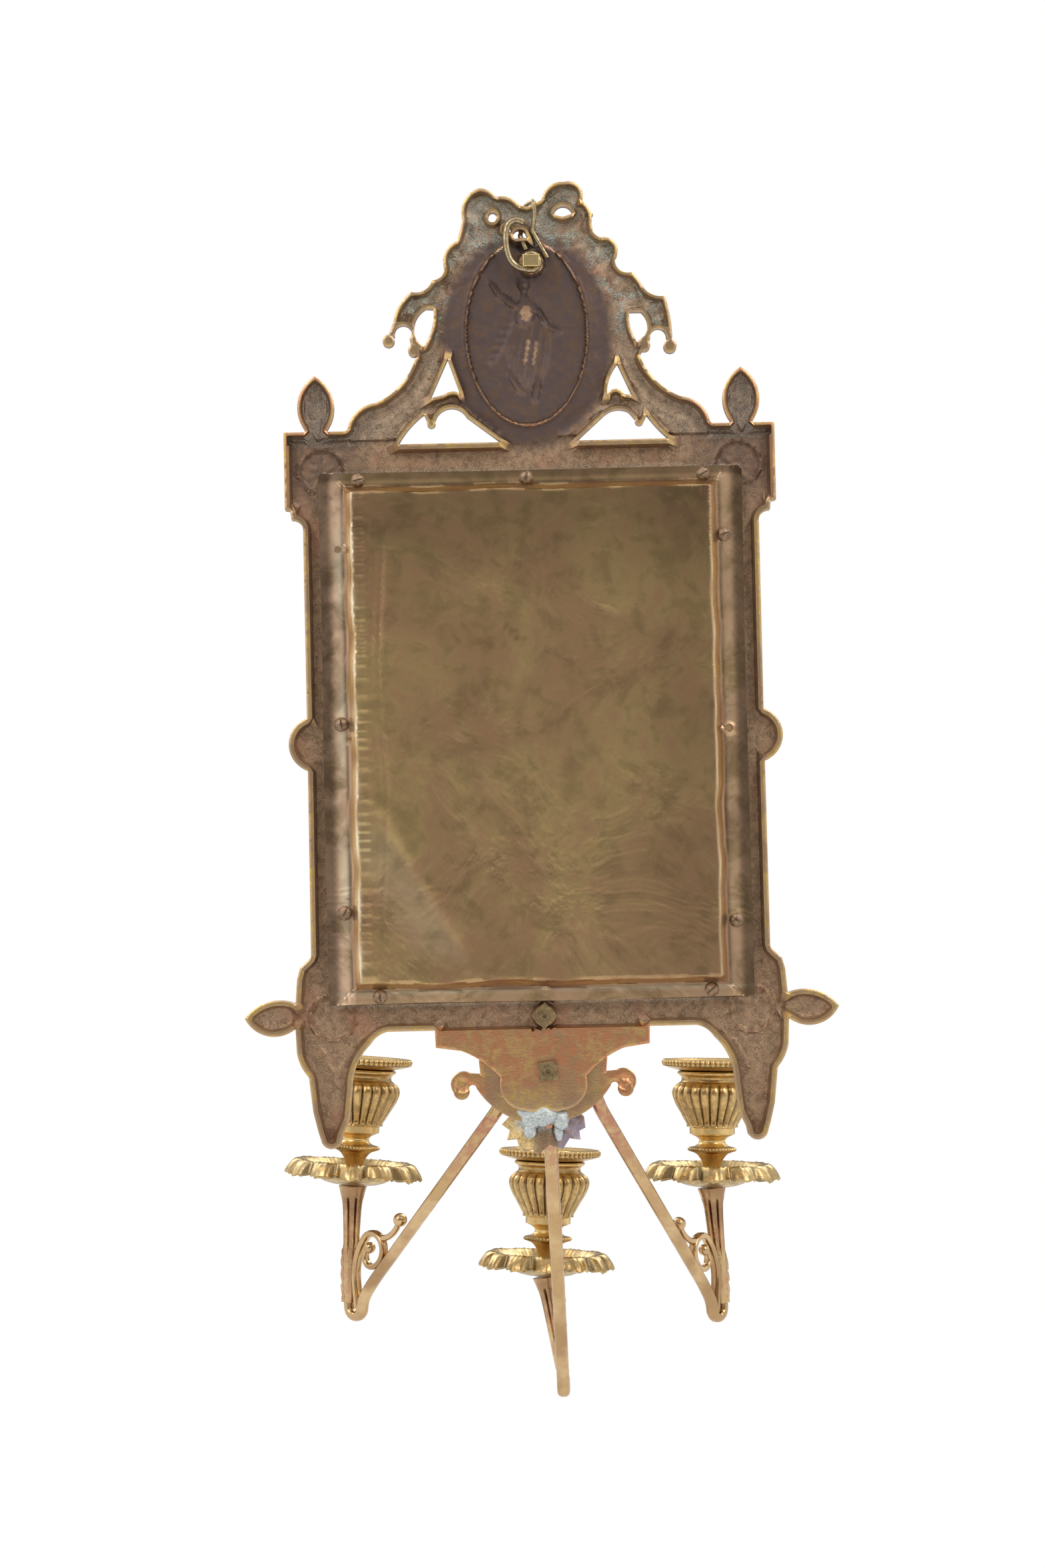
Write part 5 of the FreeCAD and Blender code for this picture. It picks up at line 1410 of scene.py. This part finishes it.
# ---------------------------------------------------------------- arms
class Turtle:
    """Walks a plane path of straight runs and tangent arcs, leaving points along it."""

    def __init__(self, u, v, heading):
        self.u, self.v, self.heading = u, v, heading
        self.points = [(u, v)]

    def go(self, run):
        count = max(1, int(run / 2.0))
        step = run / count
        for _ in range(count):
            self.u += step * math.cos(math.radians(self.heading))
            self.v += step * math.sin(math.radians(self.heading))
            self.points.append((self.u, self.v))
        return self

    def turn(self, radius, degrees):
        count = max(3, int(abs(degrees) / 6.0), int(abs(math.radians(degrees)) * radius / 2.0))
        step = degrees / count
        for _ in range(count):
            chord = 2 * radius * math.sin(math.radians(abs(step)) / 2)
            middle = self.heading + step / 2
            self.u += chord * math.cos(math.radians(middle))
            self.v += chord * math.sin(math.radians(middle))
            self.heading += step
            self.points.append((self.u, self.v))
        return self


def arm_paths(spec):
    bar = Turtle(0, 0, spec["start"])
    bar.turn(40.0, spec["slope"] - spec["start"])
    bar.go(spec["run"])
    bar.turn(120.0, -7.0)
    bar.turn(14.0, -84.0 - (spec["slope"] - 7.0))
    bar.turn(HEEL_R, 174.0)
    bar.go(2.0)
    horn_u, horn_v = bar.points[-1]
    band = Turtle(horn_u - 7.0, horn_v - 2.5, 84.0)
    band.go(13.0).turn(30.0, 50.0).turn(8.0, 136.0).turn(9.5, 90.0).turn(5.0, 165.0)
    branch = Turtle(horn_u - 25.5, horn_v + 34.5, 180.0)
    branch.go(1.0).turn(15.0, -58.0).go(3.5)
    return bar.points, band.points, branch.points


def arm_place(spec, points):
    plan = math.radians(spec["plan"])
    return np.array([(spec["root_x"] + u * math.cos(plan), ARM_ROOT_Y + u * math.sin(plan),
                      spec["root_z"] + v) for u, v in points])


def arm(name, spec, material):
    bar, band, branch = (arm_place(spec, p) for p in arm_paths(spec))
    plan = math.radians(spec["plan"])
    across = (-math.sin(plan), math.cos(plan), 0.0)
    share = np.linspace(0, 1, len(bar))
    widths = 7.1 - 0.6 * share
    thicks = 6.0 - 0.9 * share
    parts = [sweep(bar, widths, thicks, across, 2.2, 24)]
    run = np.linspace(0, 1, len(band))
    parts.append(sweep(band, 5.4 - 1.6 * run, 3.6 - 0.8 * run, across, 3.0, 18))
    run = np.linspace(0, 1, len(branch))
    parts.append(sweep(branch, 4.2 - 1.2 * run, 3.4 - 0.6 * run, across, 2.4, 14))
    parts.append(sphere(branch[-1], 3.6, 12, 18))
    parts.append(sphere(band[-1], 3.0, 12, 18))
    piece = joined("arm_" + name + "_skin", parts, 50.0)

    def red(x, y, z):
        return ease(-232, -195, z) * 0.8 + 0.2

    def brown(x, y, z):
        return bell(z - bar[:, 2].min() - 20, 25) * 0.5

    paint(piece, red, brown, 0)
    finish_piece(piece, material, "mirror", "polished_brass", "arm_" + name)
    return bar[-1]


def horn(name, spec, foot, material):
    """Fluted horn with a serrated leaf clasping its outer side."""
    high = spec["horn_h"]
    profile = smooth_profile([(2.9, 0), (3.6, 8.0), (3.9, 18.0), (4.3, high - 25.0),
                              (5.0, high - 11.0),
                              (6.2, high - 5.0), (7.2, high - 1.2), (7.2, high - 0.2)], 8)
    outward = math.radians(spec["plan"])

    def shape(r, h, angle):
        lobe = np.abs(((angle * 8 / (2 * math.pi)) % 1) - 0.5) * 2
        slot = np.clip(1 - lobe / 0.30, 0, None) ** 0.5
        window = ease(high - 36.0, high - 31.0, h) * ease(high - 5.0, high - 7.5, h)
        r = r - 1.5 * slot * window * (0.5 + 0.5 * ease(high - 34, high - 12, h))
        gap = (angle - outward + math.pi) % (2 * math.pi) - math.pi
        teeth = 0.85 + 0.22 * np.abs(np.sin(h * 0.62))
        half = 0.95 * teeth * ease(34.0, 22.0, h)
        leaf = ease(half + 0.12, half - 0.12, np.abs(gap)) * (h < 33)
        vein = 0.30 * np.cos(gap * 9.0 - h * 0.9)
        return r + leaf * (1.15 + vein) * ease(34.0, 29.0, h), h

    top = foot[2] + high

    def brown(x, y, z):
        return 0.7 * ease(top - 30, top - 8, z)

    def shade(x, y, z):
        return 0.35 * ease(top - 26, top - 18, z) * ease(top - 4, top - 8, z)

    stand("horn_" + name, foot, spec["horn_lean"], [skin(lathe(profile, 96, shape))],
          (0.5, brown, shade),
          material, slot="polished_brass")


# ---------------------------------------------------------------- candle unit
LOBES = 12


def drip_pan(name, at, lean, material):
    """Leaf pan: it rises to a rolled fold and droops in crinkled lobes."""
    count = 288
    angles = np.linspace(0, 2 * math.pi, count, endpoint=False)
    lobe = np.cos(angles * LOBES) * 0.5 + 0.5
    side = np.cos(angles * LOBES * 3 + 0.7) * 0.5 + 0.5
    wander = 0.5 * np.cos(angles * 3 + 1.0) + 0.4 * np.cos(angles * 5 + 2.0)
    middle = smooth_profile([(0.01, 0.9), (9.0, 1.0), (16.0, 2.6), (22.0, 6.3), (26.5, 10.4),
                             (29.5, 11.6),
                             (32.4, 10.4), (34.8, 7.4), (36.0, 4.8)], 6)
    reach = np.array([r for r, h in middle])
    high = np.array([h for r, h in middle])
    rings_top, rings_low = [], []
    for r, h in zip(reach, high):
        share = ease(20.0, 36.0, r)
        rim = ease(26.0, 36.0, r)
        cut = (1 - lobe) ** 2.2 * 4.6 * rim + (1 - side) * 0.9 * rim
        radius = r - cut + wander * rim * 0.8
        vein = np.cos(angles * LOBES * 6) * 0.22 * share * (0.4 + 0.6 * lobe)
        rise = h + 0.9 * (lobe - 0.5) * share + vein + (1 - lobe) * 1.4 * rim - side * 0.8 * rim
        rise = rise + wander * 0.9 * rim
        thick = 0.75 if r < 30 else 0.75 - 0.25 * rim
        ring = np.stack([radius * np.cos(angles), radius * np.sin(angles), rise], 1)
        top, low = ring.copy(), ring.copy()
        tilt = rim * 0.6
        top[:, 2] += thick
        low[:, 2] -= thick
        top[:, :2] *= 1 + 0.5 * tilt / max(r, 1)
        low[:, :2] *= 1 - 0.9 * tilt / max(r, 1)
        low[:, 2] = np.maximum(low[:, 2], 0.02)
        rings_top.append(top)
        rings_low.append(low)

    # painted shade: darker in the folds between the lobes and in the middle under the knop
    def hollow(x, y, z):
        r = np.hypot(x - at[0], y - at[1])
        angle = np.arctan2(y - at[1], x - at[0])
        between = (0.5 - 0.5 * np.cos(angle * LOBES)) ** 2 * ease(18, 30, r)
        return 0.75 * between + 0.35 * ease(24, 12, r)

    parts = [skin(rings_top + rings_low[::-1], closed_ends=False)]
    stand("drip_pan_" + name, at, lean, parts, (hollow, 0.6, 0), material, sharp=60.0)


def knop(name, at, lean, material):
    """Turned stem with a thin beaded disc."""
    profile = smooth_profile([(0.01, 2.05), (7.4, 2.1), (7.6, 3.0), (5.6, 5.5), (4.8, 8.5),
                              (4.7, 11.0),
                              (5.6, 14.0), (8.0, 17.2), (10.8, 18.5)], 6)
    profile += [(12.1, 18.9), (12.3, 19.8), (12.1, 20.8), (10.4, 21.2)]
    profile += smooth_profile([(9.0, 21.5), (7.2, 23.0), (7.0, 24.8), (8.6, 26.4), (10.2, 27.15)],
                              5)
    profile += [(0.01, 27.15)]
    parts = [skin(lathe(profile, 96), closed_ends=False)]
    parts += bead_ring(12.05, 19.85, 0.85, 44, 1.1)
    low, high = at[2] + 18.0, at[2] + 21.5

    # painted shade round the bead row of the disc, faint elsewhere
    def hollow(x, y, z):
        r = np.hypot(x - at[0], y - at[1])
        near = (z > low) & (z < high)
        return np.where(near, ease(12.9, 12.2, r) * 0.8, 0.05)

    def bright(x, y, z):
        return 0.5 * (np.abs(z - at[2] - 24.5) < 2) + 0.25

    stand("knop_" + name, at, lean, parts, (hollow, 0, bright), material)


GADROONS = 24


def candle_cup(name, at, lean, material):
    """Vase cup: plain band, gadrooned belly, hollow neck and a small lip."""
    profile = [(0.01, 27.2), (10.3, 27.2), (11.2, 27.7), (11.9, 28.0), (11.9, 31.2), (12.6, 31.5),
               (13.6, 31.7)]
    profile += smooth_profile([(13.5, 32.6), (15.0, 35.6), (17.2, 39.6), (19.6, 43.8), (21.1, 47.6),
                               (21.3, 50.2), (20.4, 52.6), (18.4, 54.3), (16.9, 55.2)], 7)
    profile += smooth_profile([(16.5, 56.0), (16.4, 57.0), (17.0, 58.2), (18.3, 59.2), (18.6, 60.0),
                               (18.3, 60.7)], 4)
    profile += [(16.0, 61.0), (13.1, 61.0), (13.0, 60.0), (13.0, 38.6), (0.01, 38.5)]

    def shape(r, h, angle):
        belly = ease(31.9, 33.4, h) * ease(55.2, 53.2, h) * (r > 13.2)
        wave = np.abs(np.cos(angle * GADROONS / 2))
        scallop = ease(31.4, 32.6, h) * ease(35.0, 33.0, h) * (r > 13.2)
        dip = (1 - wave) ** 1.6 * 1.35 + 0.35 * scallop * np.cos(angle * GADROONS)
        return r - belly * dip, h

    local = unleaned(at, lean)

    # painted shade in the gadroon dips and in the neck under the lip
    def hollow(x, y, z):
        x, y, z = local(x, y, z)
        wave = np.abs(np.cos(np.arctan2(y, x) * GADROONS / 2))
        belly = ease(31.6, 33.0, z) * ease(55.6, 54.0, z)
        return belly * (1 - wave) ** 1.2 * 0.95 + 0.5 * ease(55, 56, z) * ease(58, 56.5, z)

    def bright(x, y, z):
        z = local(x, y, z)[2]
        return 0.55 * (z < 31.4) + 0.3 * (z > 58)

    parts = [skin(lathe(profile, 240, shape), closed_ends=False)]
    stand("cup_" + name, at, lean, parts, (hollow, 0.25, bright), material)


def nozzle(name, at, lean, material):
    """Loose nozzle: dished plate with a beaded rolled rim over a tube."""
    profile = [(0.01, 39.5), (12.4, 39.5), (12.5, 40.0), (12.5, 61.0), (13.2, 61.2), (17.6, 61.15)]
    profile += smooth_profile([(18.4, 61.4), (21.6, 62.2), (24.2, 63.0), (25.6, 63.7), (26.1, 64.9),
                               (25.9, 66.2), (25.0, 67.0), (23.8, 66.8)], 5)
    profile += smooth_profile([(22.6, 65.9), (18.0, 64.8), (14.0, 64.6), (12.6, 65.2), (11.9, 65.8),
                               (11.4, 65.4)], 4)
    profile += [(11.25, 64.6), (11.25, 41.0), (0.01, 41.0)]
    parts = [skin(lathe(profile, 144), closed_ends=False)]
    parts += bead_ring(25.75, 65.3, 1.25, 62, 1.45)
    local = unleaned(at, lean)

    # painted shade round the bead row of the rim
    def hollow(x, y, z):
        x, y, z = local(x, y, z)
        reach = np.hypot(x, y)
        return ease(26.6, 25.9, reach) * ease(24.9, 25.4, reach) * (z > 63) * 0.9

    stand("nozzle_" + name, at, lean, parts, (hollow, 0.15, 0.1), material, body="nozzle_" + name)


# ---------------------------------------------------------------- studio
BEHIND = 0.30            # how bright metal finds the studio behind each camera
AMBIENT = 0.40
SOFTBOXES = [(48, 1.5, 20), (132, 1.7, 24), (228, 1.6, 22),
             (312, 1.4, 20)]    # degrees, height, watts
SOFTBOX_REACH = 2.1
SOFTBOX_SIZE = (1.1, 1.6)
SOFTBOX_AIM = (0, 0, -0.05)
FLOOR_Z = -0.90
FLOOR_HALF = 6.0
FLOOR_GREY = (0.86, 0.86, 0.86)
FLOOR_GLOW = 1.03
FLOOR_SHARE = 0.96       # how much of the floor that the camera sees is glow


def world_and_lamps():
    """Studio that is white to the camera; metal finds it darker straight ahead and behind."""
    world = bpy.data.worlds.new("studio")
    bpy.context.scene.world = world
    world.use_nodes = True
    n = Tree(world.node_tree)
    split = n.add("ShaderNodeSeparateXYZ")
    n.link(n.add("ShaderNodeTexCoord").outputs["Generated"], split.inputs[0])
    ahead = n.ramp(n.math("ABSOLUTE", split.outputs[1]), 0.55, 0.95, 1.0, BEHIND)
    seen, lit, mirrored = (n.add("ShaderNodeBackground") for _ in range(3))
    for shader, strength in ((seen, 1.0), (lit, AMBIENT), (mirrored, ahead)):
        n.put(shader.inputs[0], (1.0, 1.0, 1.0))
        n.put(shader.inputs[1], strength)
    path = n.add("ShaderNodeLightPath").outputs
    through = n.math("MAXIMUM", path["Is Camera Ray"], path["Is Transmission Ray"])
    unseen = n.between(path["Is Glossy Ray"], lit, mirrored)
    n.link(n.between(through, unseen, seen).outputs[0], n.add("ShaderNodeOutputWorld").inputs[0])
    for index, (azimuth, height, power) in enumerate(SOFTBOXES):
        data = bpy.data.lights.new("softbox_%d" % index, "AREA")
        data.shape = "RECTANGLE"
        data.size, data.size_y = SOFTBOX_SIZE
        data.energy = power
        lamp = add_object(data.name, data)
        turn = math.radians(azimuth)
        lamp.location = (SOFTBOX_REACH * math.cos(turn), SOFTBOX_REACH * math.sin(turn), height)
        lamp.rotation_euler = (Vector(SOFTBOX_AIM) - lamp.location).to_track_quat("-Z",
                                                                                  "Y").to_euler()


def add_floor():
    """Plain pale floor well under the hanging object, white to the camera."""
    mesh = bpy.data.meshes.new("floor")
    corners = [(-1, -1), (1, -1), (1, 1), (-1, 1)]
    mesh.from_pydata([(FLOOR_HALF * a, FLOOR_HALF * b, FLOOR_Z) for a, b in corners], [],
                     [(0, 1, 2, 3)])
    floor = add_object("floor", mesh)
    n = Nodes("floor_paper")
    n.shader.inputs["Specular IOR Level"].default_value = 0.1
    path = n.add("ShaderNodeLightPath").outputs
    share = n.math("MULTIPLY", n.math("MAXIMUM", path["Is Camera Ray"], path["Is Glossy Ray"]),
                   FLOOR_SHARE)
    glow = n.add("ShaderNodeEmission")
    glow.inputs["Strength"].default_value = FLOOR_GLOW
    n.link(n.between(share, n.shader, glow).outputs[0], n.out.inputs[0])
    mesh.materials.append(n.finish(FLOOR_GREY, 0.9, 0.0))


ROD_METAL = ((0.42, 0.33, 0.19), (0.28, 0.20, 0.11), 0.3, 0.5)
PLAIN_METALS = [
    ("screw_steel", (0.20, 0.13, 0.09), (0.38, 0.26, 0.16), 0.35, 0.6, 0.5, 0.08,
     ["back_plate_screws"]),
    ("nut_brass", (0.86, 0.68, 0.34), (0.66, 0.47, 0.20), 0.2, 0.35, ["hanger_stud", "hanger_nut"]),
    ("dull_brass", (0.40, 0.29, 0.15), (0.22, 0.15, 0.08), 0.35, 0.5, 0.4, 0.08,
     ["mount_studs", "mount_nuts"]),
    ("wire_brass", (0.52, 0.42, 0.25), (0.30, 0.22, 0.13), 0.3, 0.45,
     ["hanging_ring", "hanging_wire"]),
]


def main():
    bpy.context.scene.view_settings.view_transform = "Standard"
    add_camera()
    world_and_lamps()
    add_floor()
    cast = cast_brass()
    polished = polished_brass()
    gilt = gilt_brass()
    sheet = sheet_brass()
    frame_casting(cast)
    back_plate(sheet)
    arm_mount(cast)
    root_leaf(leaf_metal())
    for name, spec in ARMS.items():
        foot = arm(name, spec, polished)
        horn(name, spec, foot, polished)
        lean = math.radians(spec["horn_lean"])
        top = foot + np.array([math.sin(lean), 0, math.cos(lean)]) * spec["horn_h"]
        for build in (drip_pan, knop, candle_cup, nozzle):
            build(name, top, spec["cup_lean"], gilt)
        dress("rod_" + name, plain_metal("rod_metal_" + name, *ROD_METAL))
    for metal, *look, nodes in PLAIN_METALS:
        material = plain_metal(metal, *look)
        for node in nodes:
            dress(node, material)
    dress("mirror_glass", mirror_plate())
    dress("backing_board", wood_board())


main()
